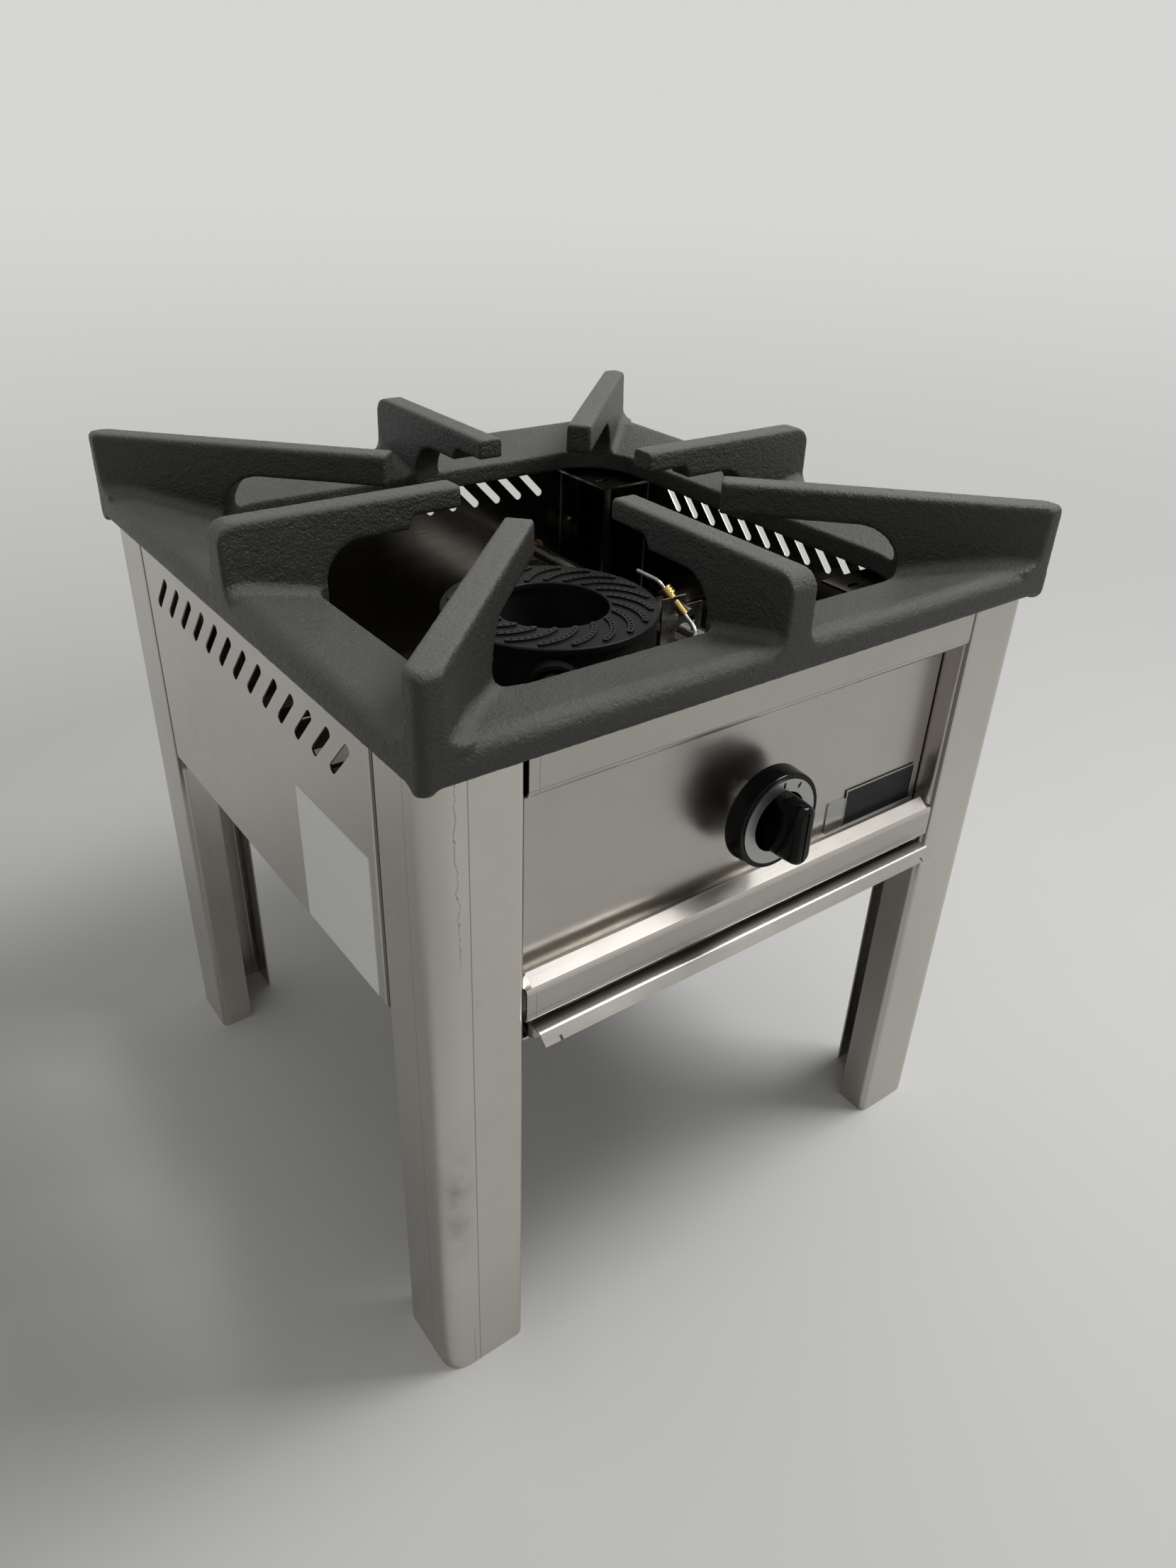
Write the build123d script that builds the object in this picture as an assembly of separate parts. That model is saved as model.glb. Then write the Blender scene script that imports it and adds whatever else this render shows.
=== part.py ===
from build123d import *
import math
import os

# Gas wok burner on four legs. Millimetres, +Z up, front towards -Y.
# The origin is on the floor, below the middle of the burner ring.

# Pan support casting
casting_size = 500.0
casting_corner_radius = 6.0
casting_top_z = 494.0
casting_rim_rise = 12.0
casting_plate = 6.0
casting_edge_radius = 10.0
casting_skirt_depth = 3.0
casting_wall = 5.0
casting_seat = 7.0
casting_opening = 377.0
opening_corner_radius = 45.0
dish_corner_radius = 60.0
inner_rim_depth = 16.0
lug_radius = 6.2
lug_drop = 7.0
lug_inset_x = 6.2
lug_inset_y = 8.2

# Fingers that carry the wok
finger_rise = 54.0
finger_top_width = 20.0
finger_base_width = 24.0
finger_edge_radius = 3.0
finger_end_radius = 13.0
finger_plan_radius = 14.0
finger_setback = 0.2
finger_flare = 10.0
finger_flare_sink = 4.0
finger_root_drop = 8.0
middle_tip_reach = 81.5
middle_tip_depth = 15.5
middle_step_start = 117.0
middle_step_run = 4.0
middle_step_depth = 8.5
middle_arch_radius = 26.0
middle_root_overhang = 7.0
corner_tip_reach = 120.0
corner_tip_depth = 23.0
corner_arch_radius = 30.0
corner_end_radius = 5.0
corner_root_overhang = 1.0

# Body sheet metal
body_width = 486.0
body_depth = 484.0
seat_gap = 0.3
leg_face = 60.0
leg_sheet = 1.5
leg_corner_radius = 15.0
leg_fold_radius = 5.5
leg_return = 27.0
panel_sheet = 1.2
panel_height = 189.7
panel_return = 20.0
panel_fold_radius = 3.0
panel_end_gap = 0.5
cut_margin = 1.0
slot_end_margin = 35.0
slot_pitch = 24.0
slot_width = 7.0
slot_length = 37.0
slot_lean = 44.0
slot_row_drop = 41.0

# Front
band_drop = 39.0
band_fold_radius = 7.0
band_top_flange = 14.0
front_recess = 17.0
front_end_gap = 0.4
front_seam = 0.2
ledge_drop = 169.0
ledge_fold_radius = 4.0
ledge_back_run = 16.0
lower_rail_height = 25.0
lower_rail_hem = 10.0
hem_fold_radius = 2.5

# Corner plates under the casting
corner_plate_drop = 19.0
corner_plate_sheet = 2.0
corner_plate_reach_x = 33.0
corner_plate_reach_y = 50.0
corner_plate_flange = 18.0
corner_plate_clearance = 0.6
corner_plate_hole_length = 14.0
corner_plate_hole_width = 8.0
corner_plate_hole_inset_x = 19.0
corner_plate_hole_inset_y = 30.0

# Drip tray and its runners
tray_side_gap = 6.0
tray_floor_drop = 214.0
tray_height = 15.5
tray_sheet = 1.0
tray_front_recess = 3.0
tray_back_inset = 22.0
tray_corner_radius = 6.0
tray_fold_radius = 2.5
lip_side_gap = 5.0
lip_flat = 9.5
lip_slope_run = 7.0
lip_slope_drop = 6.0
lip_fold_radius = 3.0
lip_hem = 1.2
lip_hem_height = 2.4
lip_notch_inset = 12.0
lip_notch_width = 2.0
runner_sheet = 1.5
runner_flange = 17.0
runner_height = 17.0
runner_fold_radius = 2.5
runner_end_inset = 9.0
runner_stop_width = 9.0

# Screws in the sheet metal
screw_radius = 1.5
screw_hole_radius = 1.6
screw_head_radius = 3.0
screw_head_height = 2.2
screw_length = 6.0
screw_inset = 13.0
front_screw_inset = 23.0
screw_low_rise = 47.0
screw_high_rise = 117.0
runner_screw_rise = 9.0

# Burner ring
burner_drop = 49.5
burner_radius = 83.5
burner_hole_radius = 45.0
rib_height = 1.5
rib_width = 4.6
rib_count = 20
rib_phase = 5.0
rib_inner_radius = 49.5
rib_outer_radius = 76.5
rib_sweep = 27.0
rib_bow = 2.6
rib_holes = 8
rib_hole_width = 1.8
rib_hole_depth = 1.2
cap_plate = 5.0
cap_edge_radius = 1.5
cap_rim_depth = 4.0
cap_rim_wall = 2.5
cap_clearance = 0.4
trough_wall = 4.0
trough_floor = 5.0
trough_height = 40.5
trough_overhang = 1.5
neck_angle = 237.0
neck_radius = 19.0
neck_reach = 93.0
neck_mouth_radius = 16.0
neck_mouth_depth = 10.0

# Mixing tube, air shutter and injector, placed along the neck's axis
tube_radius = 13.0
tube_wall = 1.5
tube_start = 79.0
tube_end = 158.0
tube_fit = 0.05
end_plate_radius = 20.0
end_plate = 3.0
air_hole_radius = 2.5
air_hole_circle = 8.7
air_hole_count = 6
shutter_sheet = 1.5
shutter_gap = 0.5
shutter_tab = 7.0
shutter_tab_width = 8.0
injector_shank_radius = 5.5
injector_fit = 0.06
injector_tip_radius = 3.5
injector_tip_length = 14.0
injector_jet_radius = 1.0
injector_hex = 15.0
injector_hex_length = 9.0
injector_neck_radius = 5.5
injector_neck_length = 8.0

# Cross bars that carry the burner
bar_y = 45.0
bar_width = 24.0
bar_sheet = 3.0
bar_tab = 22.0

# Gas valve and control knob
knob_x = 0.0
knob_drop = 109.0
snout_radius = 9.0
snout_hole_clearance = 0.3
snout_reach = 6.5
valve_radius = 14.0
valve_length = 58.0
valve_port_offset = 35.0
port_radius = 9.0
port_reach = 24.0
pilot_port_radius = 6.0
pilot_port_reach = 20.0
stem_radius = 4.0
stem_fit = 0.05
stem_end_inset = 15.0
stem_end_gap = 2.0
collar_radius = 8.0
collar_bore_fit = 0.06
collar_side_gap = 0.5
collar_length = 3.0
chamber_inset = 10.0
chamber_length = 18.0
push_travel = 5.0
valve_nut_hex = 24.0
valve_nut_length = 4.0
knob_gap = 15.0
knob_skirt_depth = 14.0
knob_back_radius = 34.5
knob_front_radius = 33.5
knob_wall = 3.0
knob_rim = 1.2
dial_radius = 30.0
dial_hub_radius = 21.3
dial_sheet = 1.0
dial_fit = 0.3
hub_recess = 1.0
grip_width = 16.5
grip_height = 44.0
grip_reach = 24.0
grip_edge_radius = 2.5
knob_boss_radius = 8.0
knob_boss_gap = 1.5

# Gas supply
supply_radius = 6.85
supply_wall = 2.0
supply_inset = 33.0
supply_bend = 30.0
inlet_radius = 10.48
inlet_bore = 7.5
inlet_hex = 27.0
inlet_hex_length = 8.0
inlet_hole_clearance = 0.6
clamp_sheet = 1.5
clamp_width = 14.0
clamp_ear = 10.0
clamp_fit = 0.2
feed_radius = 4.0
feed_bend = 13.0
pilot_line_radius = 2.0
pilot_line_bend = 9.0
pilot_line_drop = 33.5
pilot_line_rise = 12.0
pilot_line_x = 60.0
pilot_line_y = -92.0
pilot_line_end = 16.0

# Pilot, thermocouple and their bracket beside the ring
bracket_y = -37.0
bracket_x = 80.0
bracket_strip = 15.0
bracket_wing_reach = 42.0
bracket_top_drop = 2.5
bracket_wing_low_drop = 35.5
bracket_wing_high_drop = 11.5
bracket_sheet = 1.5
bracket_foot = 14.0
bracket_arc_radius = 9.0
bracket_hole_radius = 4.0
bracket_hole_x = 112.0
bracket_hole_drop = 24.5
pilot_x = 96.0
pilot_drop = 10.5
pilot_radius = 4.0
pilot_nut_radius = 5.6
pilot_length = 26.0
pilot_rings = 3
pilot_ring_pitch = 2.6
pilot_ring_length = 1.9
pilot_lean = 45.0
pilot_turn = 29.0
pilot_tip_radius = 1.6
pilot_tip_rise = 7.0
pilot_tip_reach = 26.0
pilot_tip_bend = 8.0
thermocouple_radius = 1.7
thermocouple_sleeve_radius = 3.0
thermocouple_x = 106.0
thermocouple_drop = 16.5
thermocouple_reach = 22.0
thermocouple_sleeve = 11.0

# Bare plates
rating_width = 97.0
rating_height = 100.0
rating_sheet = 0.6
rating_front_inset = 70.0
rating_rise = 4.0
badge_sheet = 1.0
badge_inset = 9.0
badge_width = 74.0
badge_height = 31.0
badge_rise = 3.0
badge_tab_width = 18.0
badge_tab_height = 26.0
badge_corner = 2.5

# Sizes and places worked out from the ones above
half_width = body_width / 2
half_depth = body_depth / 2
finger_top_z = casting_top_z + finger_rise
rim_top_z = casting_top_z + casting_rim_rise
body_top_z = casting_top_z - casting_plate - seat_gap
panel_bottom_z = body_top_z - panel_height
slot_row_z = casting_top_z - slot_row_drop
band_bottom_z = casting_top_z - band_drop
ledge_z = casting_top_z - ledge_drop
lower_rail_bottom_z = ledge_z - lower_rail_height
corner_plate_z = casting_top_z - corner_plate_drop
screw_low_z = panel_bottom_z + screw_low_rise
screw_high_z = panel_bottom_z + screw_high_rise
rating_low_z = panel_bottom_z + rating_rise
badge_low_z = ledge_z + badge_rise
knob_z = casting_top_z - knob_drop
tray_floor_z = casting_top_z - tray_floor_drop
tray_width = body_width - 2 * leg_face - 2 * tray_side_gap
tray_front_y = -half_depth + tray_front_recess
tray_back_y = half_depth - tray_back_inset
runner_end_y = half_depth - runner_end_inset
burner_top_z = casting_top_z - burner_drop
pilot_line_z = burner_top_z - pilot_line_drop
bracket_top_z = burner_top_z - bracket_top_drop
bracket_wing_low_z = burner_top_z - bracket_wing_low_drop
bracket_wing_high_z = burner_top_z - bracket_wing_high_drop
bracket_hole_z = burner_top_z - bracket_hole_drop
pilot_z = burner_top_z - pilot_drop
thermocouple_z = burner_top_z - thermocouple_drop
leg_inner_x = half_width - leg_face
leg_inner_y = half_depth - leg_face
corner_plate_inner_x = leg_inner_x - corner_plate_reach_x
corner_plate_inner_y = leg_inner_y - corner_plate_reach_y
corner_plate_hole_x = leg_inner_x - corner_plate_hole_inset_x
corner_plate_hole_y = leg_inner_y - corner_plate_hole_inset_y
supply_x = leg_inner_x - supply_inset
badge_left = leg_inner_x - badge_inset - badge_width
panel_front_y = -half_depth + front_recess
panel_back_y = panel_front_y + panel_sheet
finger_limit = casting_size / 2 - finger_setback
opening_half = casting_opening / 2
roll_reach = casting_size / 2 - casting_edge_radius - opening_half
roll_rise = casting_rim_rise - casting_edge_radius
dish_slope = math.atan2(roll_rise, roll_reach)
dish_slope += math.asin(casting_edge_radius / math.hypot(roll_reach, roll_rise))
dish_run = roll_reach + casting_edge_radius / 2
dish_rise = dish_run * math.tan(dish_slope)
opening_diagonal = (opening_half - opening_corner_radius) * math.sqrt(2) + opening_corner_radius
dish_diagonal = (opening_half + dish_run - dish_corner_radius) * math.sqrt(2) + dish_corner_radius
cap_top_z = burner_top_z - rib_height
cap_bottom_z = cap_top_z - cap_plate
trough_top_z = cap_bottom_z - seat_gap
trough_bottom_z = trough_top_z - trough_height
trough_outer = burner_radius - trough_overhang
trough_inner = burner_hole_radius + trough_overhang
neck_z = trough_bottom_z + neck_radius
bar_top_z = trough_bottom_z - seat_gap
bar_bottom_z = bar_top_z - bar_sheet
valve_front_y = panel_back_y + seat_gap
valve_port_y = panel_front_y + valve_port_offset
knob_back_y = panel_front_y - knob_gap
knob_face_y = knob_back_y - knob_skirt_depth
grip_front_y = knob_face_y - grip_reach
inlet_end_y = -grip_front_y
stem_back_y = valve_front_y + valve_length - stem_end_inset


def rod(start, end, radius):
    """Solid round bar from one point to another."""
    start = Vector(*start)
    end = Vector(*end)
    plane = Plane(origin=start, z_dir=end - start)
    return extrude(plane * Circle(radius), amount=(end - start).length)


def hex_bar(start, end, across_flats):
    """Hexagonal bar from one point to another."""
    start = Vector(*start)
    end = Vector(*end)
    plane = Plane(origin=start, z_dir=end - start)
    outline = RegularPolygon(across_flats / 2, 6, major_radius=False)
    return extrude(plane * outline, amount=(end - start).length)


def neck_point(distance, z=None):
    """Point at a distance from the middle along the burner's neck."""
    angle = math.radians(neck_angle)
    height = neck_z if z is None else z
    return (distance * math.cos(angle), distance * math.sin(angle), height)


def bent_tube(points, bend, radius, wall=0.0):
    """Round tube along straight runs joined by bends; solid when it has no wall."""
    path = FilletPolyline(*points, radius=bend)
    section = Circle(radius)
    if wall > 0:
        section = section - Circle(radius - wall)
    return sweep(Plane(origin=path @ 0, z_dir=path % 0) * section, path=path)


def folded_sheet(points, radii, sheet):
    """Section of a folded sheet: points run along its outside and the sheet lies to their left."""
    corners = [Vector(*point) for point in points]
    runs = [(b - a).normalized() for a, b in zip(corners, corners[1:])]
    lefts = [Vector(-run.Y, run.X) for run in runs]
    inside = [corners[0] + lefts[0] * sheet]
    inner_radii = []
    for index in range(1, len(corners) - 1):
        before = lefts[index - 1]
        after = lefts[index]
        inside.append(corners[index] + (before + after) * (sheet / (1 + before.dot(after))))
        turns_left = runs[index - 1].cross(runs[index]).Z > 0
        inner_radii.append(radii[index - 1] + (-sheet if turns_left else sheet))
    inside.append(corners[-1] + lefts[-1] * sheet)
    outer = FilletPolyline(*corners, radius=radii)
    inner = FilletPolyline(*inside, radius=inner_radii)
    caps = [Line(corners[0], inside[0]), Line(corners[-1], inside[-1])]
    return make_face(outer.edges() + inner.edges() + caps)


def screw(point, direction):
    """Pan-head screw whose head sits at the point and whose shank runs in the direction."""
    point = Vector(*point)
    direction = Vector(*direction)
    head = rod(point - direction * screw_head_height, point, screw_head_radius)
    shank = rod(point, point + direction * screw_length, screw_radius)
    return head + shank


def in_quadrant(shape, side_x, side_y):
    """Copy of a shape made for the +X +Y corner, mirrored to another corner."""
    if side_x < 0:
        shape = mirror(shape, about=Plane.YZ)
    if side_y < 0:
        shape = mirror(shape, about=Plane.XZ)
    return shape


def finger(profile):
    """Upright finger along +X with drafted sides, from its side profile in X and Z."""
    blade = extrude(Plane.XZ * profile, amount=casting_opening / 4, both=True)
    low_z = casting_top_z - inner_rim_depth
    half_top = finger_top_width / 2
    half_base = finger_base_width / 2
    outline = Polyline(
        (half_base, low_z),
        (half_top, finger_top_z),
        (-half_top, finger_top_z),
        (-half_base, low_z),
        close=True,
    )
    section = make_face(outline.edges())
    section = fillet(section.vertices().group_by(Axis.Y)[-1], finger_edge_radius)
    prism = extrude(Plane.YZ * section, amount=casting_size)
    return blade & prism


def finger_foot(points, bends):
    """Flared foot of a finger, hollowed on both sides, along points on the frame's top in X and Z."""
    path = FilletPolyline(*[(x, 0, z) for x, z in points], radius=bends)
    knee = finger_top_width / 2 + seat_gap
    reach = knee + finger_flare
    curve = finger_flare * (1 - math.sqrt(0.5))
    high = finger_flare - seat_gap
    right = [
        Line((reach, -finger_flare_sink), (reach, -seat_gap)),
        ThreePointArc((reach, -seat_gap), (knee + curve, curve - seat_gap), (knee, high)),
    ]
    left = [mirror(edge, about=Plane.YZ) for edge in right]
    top = Line((-knee, high), (knee, high))
    base = Line((-reach, -finger_flare_sink), (reach, -finger_flare_sink))
    section = make_face(right + left + [top, base])
    return sweep(Plane(origin=path @ 0, x_dir=(0, 1, 0), z_dir=path % 0) * section, path=path)


def middle_finger_foot():
    """Foot along a side's dish and over its rolled edge."""
    start = opening_half - casting_wall
    end = casting_size / 2
    points = [
        (start, casting_top_z + (start - opening_half) * math.tan(dish_slope)),
        (end, casting_top_z + (end - opening_half) * math.tan(dish_slope)),
        (end, casting_top_z - casting_plate),
    ]
    return finger_foot(points, casting_edge_radius)


def corner_finger_foot():
    """Foot along a corner's dish and over its rolled edge."""
    slope = dish_rise / (dish_diagonal - opening_diagonal)
    start = opening_diagonal - casting_wall
    crest = opening_diagonal + casting_rim_rise / slope
    end = (casting_size / 2 - casting_corner_radius) * math.sqrt(2) + casting_corner_radius
    points = [
        (start, casting_top_z + (start - opening_diagonal) * slope),
        (crest, rim_top_z),
        (end, rim_top_z),
        (end, casting_top_z - casting_plate),
    ]
    return finger_foot(points, casting_edge_radius)


def middle_finger_profile():
    """Side profile of the four fingers on the middles of the sides."""
    root = opening_half - middle_root_overhang
    step_z = finger_top_z - middle_tip_depth - middle_step_depth
    tip_z = finger_top_z - middle_tip_depth
    arch_start = root - middle_arch_radius
    arch_z = step_z - middle_arch_radius
    curve = middle_arch_radius * math.sqrt(0.5)
    low_z = casting_top_z - casting_plate
    root_z = low_z - finger_root_drop
    inside = opening_half + casting_wall / 2
    outline = Polyline(
        (root, arch_z),
        (root, root_z),
        (inside, root_z),
        (inside, low_z),
        (finger_limit, low_z),
        (finger_limit, finger_top_z),
        (middle_tip_reach, finger_top_z),
        (middle_tip_reach, tip_z),
        (middle_step_start, tip_z),
        (middle_step_start + middle_step_run, step_z),
        (arch_start, step_z),
    )
    arch = ThreePointArc((arch_start, step_z), (arch_start + curve, arch_z + curve), (root, arch_z))
    return make_face(outline.edges() + [arch])


def corner_finger_profile():
    """Side profile of the four fingers on the diagonals."""
    root = opening_diagonal - corner_root_overhang
    under_z = finger_top_z - corner_tip_depth
    arch_start = root - corner_arch_radius
    arch_z = under_z - corner_arch_radius
    curve = corner_arch_radius * math.sqrt(0.5)
    low_z = casting_top_z - casting_plate
    root_z = low_z - finger_root_drop
    inside = opening_diagonal + casting_wall / 2
    outline = Polyline(
        (root, arch_z),
        (root, root_z),
        (inside, root_z),
        (inside, low_z),
        (casting_size * math.sqrt(0.5), low_z),
        (casting_size * math.sqrt(0.5), finger_top_z),
        (corner_tip_reach, finger_top_z),
        (corner_tip_reach, under_z),
        (arch_start, under_z),
    )
    arch = ThreePointArc((arch_start, under_z), (arch_start + curve, arch_z + curve), (root, arch_z))
    return make_face(outline.edges() + [arch])


def dish():
    """Space over the frame's top, which slopes up from the opening's edge to the rolled outer edge."""
    low = RectangleRounded(casting_opening, casting_opening, opening_corner_radius)
    high_size = casting_opening + 2 * dish_run
    high = RectangleRounded(high_size, high_size, dish_corner_radius)
    return loft([Pos(0, 0, casting_top_z) * low, Pos(0, 0, casting_top_z + dish_rise) * high], ruled=True)


def rolled_block(low_z):
    """Square block up to the frame's rim, with its top edges rolled and its corners rounded."""
    height = rim_top_z - low_z
    section = Pos(0, low_z + height / 2) * Rectangle(casting_size, height)
    section = fillet(section.vertices().group_by(Axis.Y)[-1], casting_edge_radius)
    bar = extrude(Plane.XZ * section, amount=casting_size / 2, both=True)
    outline = RectangleRounded(casting_size, casting_size, casting_corner_radius)
    return bar & (Rot(0, 0, 90) * bar) & extrude(Pos(0, 0, low_z) * outline, amount=height)


def finger_block(plan_radius, end_radius):
    """Block that rounds the outer ends of the fingers."""
    low_z = casting_top_z - inner_rim_depth
    outline = Pos(0, 0, low_z) * RectangleRounded(2 * finger_limit, 2 * finger_limit, plan_radius)
    block = extrude(outline, amount=finger_top_z - low_z)
    return fillet(block.faces().sort_by(Axis.Z)[-1].edges(), end_radius)


def pan_support():
    """Dished cast frame with eight fingers, hollow underneath, and a locating lug at each corner."""
    under_z = casting_top_z - casting_plate
    skirt_z = under_z - casting_skirt_depth
    rim_z = casting_top_z - inner_rim_depth
    opening = RectangleRounded(casting_opening, casting_opening, opening_corner_radius)
    opening = extrude(Pos(0, 0, rim_z) * opening, amount=rim_top_z + finger_flare - rim_z)
    frame = rolled_block(skirt_z) - dish()
    cavity_size = casting_size - 2 * casting_wall
    cavity = RectangleRounded(cavity_size, cavity_size, casting_corner_radius - casting_wall / 2)
    frame -= extrude(Pos(0, 0, skirt_z) * cavity, amount=casting_skirt_depth)
    frame -= opening

    middle = finger(middle_finger_profile()) & finger_block(finger_plan_radius, finger_end_radius)
    corner_block = finger_block(casting_corner_radius, corner_end_radius)
    corner = (Rot(0, 0, 45) * finger(corner_finger_profile())) & corner_block
    middle += (middle_finger_foot() - opening) & corner_block
    corner += ((Rot(0, 0, 45) * corner_finger_foot()) - opening) & corner_block
    frame += [Rot(0, 0, 90 * quarter) * piece for quarter in range(4) for piece in (middle, corner)]

    rim_size = casting_opening + 2 * casting_wall
    rim_corner = opening_corner_radius + casting_wall
    rim = RectangleRounded(rim_size, rim_size, rim_corner)
    frame += extrude(Pos(0, 0, rim_z) * rim, amount=under_z - rim_z) - opening
    pocket_size = cavity_size - 2 * casting_seat
    pocket = RectangleRounded(pocket_size, pocket_size, dish_corner_radius) - rim
    pocket = extrude(Pos(0, 0, skirt_z) * pocket, amount=rim_top_z - casting_plate - skirt_z)
    frame -= pocket - Pos(0, 0, -casting_plate) * dish()

    lug_x = casting_size / 2 - lug_inset_x
    lug_y = casting_size / 2 - lug_inset_y
    for side_x in (-1, 1):
        for side_y in (-1, 1):
            foot = (side_x * lug_x, side_y * lug_y, under_z - lug_drop)
            head = (side_x * lug_x, side_y * lug_y, under_z)
            frame += rod(foot, head, lug_radius)
    return frame


def leg(side_x, side_y):
    """Folded corner leg from the floor to the casting, with a return along each inner edge."""
    path = [
        (leg_inner_x, half_depth - leg_return),
        (leg_inner_x, half_depth),
        (half_width, half_depth),
        (half_width, leg_inner_y),
        (half_width - leg_return, leg_inner_y),
    ]
    path.reverse()
    section = folded_sheet(path, [leg_fold_radius, leg_corner_radius, leg_fold_radius], leg_sheet)
    shape = extrude(section, amount=body_top_z)
    inset = front_screw_inset if side_y < 0 else screw_inset
    for z in (screw_low_z, screw_high_z):
        shape -= rod((leg_inner_x - cut_margin, half_depth - inset, z),
                     (leg_inner_x + leg_return, half_depth - inset, z), screw_hole_radius)
        shape -= rod((half_width - screw_inset, leg_inner_y - cut_margin, z),
                     (half_width - screw_inset, leg_inner_y + leg_return, z), screw_hole_radius)
    runner_screw_z = tray_floor_z + runner_screw_rise
    shape -= rod((leg_inner_x - cut_margin, half_depth - screw_inset, runner_screw_z),
                 (leg_inner_x + leg_return, half_depth - screw_inset, runner_screw_z), screw_hole_radius)
    return in_quadrant(shape, side_x, side_y)


def slotted_panel(width):
    """Shallow pan facing -Y with a row of leaning air slots, its face at y = 0."""
    height = body_top_z - panel_bottom_z
    middle_z = panel_bottom_z + height / 2
    outer = Pos(0, panel_return / 2, middle_z) * Box(width, panel_return, height)
    outer = fillet(outer.faces().sort_by(Axis.Y)[0].edges(), panel_fold_radius)
    inner_width = width - 2 * panel_sheet
    inner_height = height - 2 * panel_sheet
    inner = Pos(0, panel_return / 2 + panel_sheet, middle_z) * Box(inner_width, panel_return, inner_height)
    inner = fillet(inner.faces().sort_by(Axis.Y)[0].edges(), panel_fold_radius - panel_sheet)
    panel = outer - inner
    slot = SlotOverall(slot_length, slot_width, rotation=90 - slot_lean)
    slot_count = 1 + int((width - 2 * slot_end_margin) / slot_pitch)
    for index in range(slot_count):
        x = (index - (slot_count - 1) / 2) * slot_pitch
        panel -= extrude(Plane.XZ * Pos(x, slot_row_z) * slot, amount=2 * panel_fold_radius, both=True)
    for side in (-1, 1):
        for z in (screw_low_z, screw_high_z):
            edge = side * width / 2
            panel -= rod((edge - side * panel_fold_radius, screw_inset, z),
                         (edge + side * cut_margin, screw_inset, z), screw_hole_radius)
    return panel


def side_panel(side):
    """Slotted panel between a front and a back leg."""
    panel = slotted_panel(2 * (leg_inner_y - panel_end_gap))
    return Pos(side * half_width, 0, 0) * Rot(0, 0, 90 * side) * panel


def back_panel():
    """Slotted panel between the back legs, with the hole for the gas inlet."""
    panel = slotted_panel(2 * (leg_inner_x - panel_end_gap))
    panel = Pos(0, half_depth, 0) * Rot(0, 0, 180) * panel
    hole = inlet_radius + inlet_hole_clearance
    return panel - rod((supply_x, half_depth - panel_return / 2, knob_z),
                       (supply_x, half_depth + cut_margin, knob_z), hole)


def front_length():
    """Half the length of the pieces between the front legs."""
    return leg_inner_x - front_end_gap


def front_top_band():
    """Folded band above the control panel, flush with the legs."""
    path = [
        (-half_depth + band_top_flange, body_top_z),
        (-half_depth, body_top_z),
        (-half_depth, band_bottom_z),
        (panel_front_y - front_seam, band_bottom_z),
    ]
    section = folded_sheet(path, [panel_fold_radius, band_fold_radius], panel_sheet)
    half = front_length()
    return extrude(Plane.YZ.offset(-half) * section, amount=2 * half)


def control_panel():
    """Recessed panel with a flange at each end and the hole for the valve."""
    half = front_length()
    flange_y = panel_front_y + panel_return
    path = [(-half, flange_y), (-half, panel_front_y), (half, panel_front_y), (half, flange_y)]
    section = folded_sheet(path, [panel_fold_radius, panel_fold_radius], panel_sheet)
    low_z = ledge_z + front_seam
    high_z = body_top_z - panel_sheet - front_seam
    panel = extrude(Pos(0, 0, low_z) * section, amount=high_z - low_z)
    panel -= rod((knob_x, panel_front_y - cut_margin, knob_z),
                 (knob_x, panel_back_y + cut_margin, knob_z), snout_radius + snout_hole_clearance)
    screw_y = -half_depth + front_screw_inset
    for side in (-1, 1):
        for z in (screw_low_z, screw_high_z):
            panel -= rod((side * (half - panel_fold_radius), screw_y, z),
                         (side * (half + cut_margin), screw_y, z), screw_hole_radius)
    return panel


def front_lower_rail():
    """Ledge, face and hem below the control panel."""
    path = [
        (panel_front_y + ledge_back_run, ledge_z),
        (-half_depth, ledge_z),
        (-half_depth, lower_rail_bottom_z),
        (-half_depth + lower_rail_hem, lower_rail_bottom_z),
    ]
    section = folded_sheet(path, [ledge_fold_radius, hem_fold_radius], panel_sheet)
    half = front_length()
    return extrude(Plane.YZ.offset(-half) * section, amount=2 * half)


def corner_plate(side_x, side_y):
    """Plate inside a leg, below the casting, with a flange welded to the leg."""
    face_x = half_width - leg_sheet
    face_y = half_depth - leg_sheet - corner_plate_clearance
    notch_x = leg_inner_x + leg_fold_radius + corner_plate_clearance
    notch_y = leg_inner_y + leg_fold_radius + corner_plate_clearance
    deep_x = half_width - leg_return - corner_plate_clearance
    deep_y = half_depth - front_recess - panel_return - corner_plate_clearance
    outline = Polyline(
        (face_x, face_y),
        (notch_x, face_y),
        (notch_x, deep_y),
        (corner_plate_inner_x, deep_y),
        (corner_plate_inner_x, corner_plate_inner_y),
        (deep_x, corner_plate_inner_y),
        (deep_x, notch_y),
        (face_x, notch_y),
        close=True,
    )
    face = make_face(outline.edges())
    face = fillet(face.vertices().sort_by_distance((face_x, face_y))[0], leg_corner_radius)
    hole = SlotOverall(corner_plate_hole_length, corner_plate_hole_width)
    face -= Pos(corner_plate_hole_x, corner_plate_hole_y) * hole
    shape = extrude(Pos(0, 0, corner_plate_z - corner_plate_sheet) * face, amount=corner_plate_sheet)
    flange_end = half_depth - leg_corner_radius
    flange = Pos(face_x - corner_plate_sheet / 2, (notch_y + flange_end) / 2,
                 corner_plate_z - corner_plate_flange / 2)
    shape += flange * Box(corner_plate_sheet, flange_end - notch_y, corner_plate_flange)
    return in_quadrant(shape, side_x, side_y)


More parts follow.
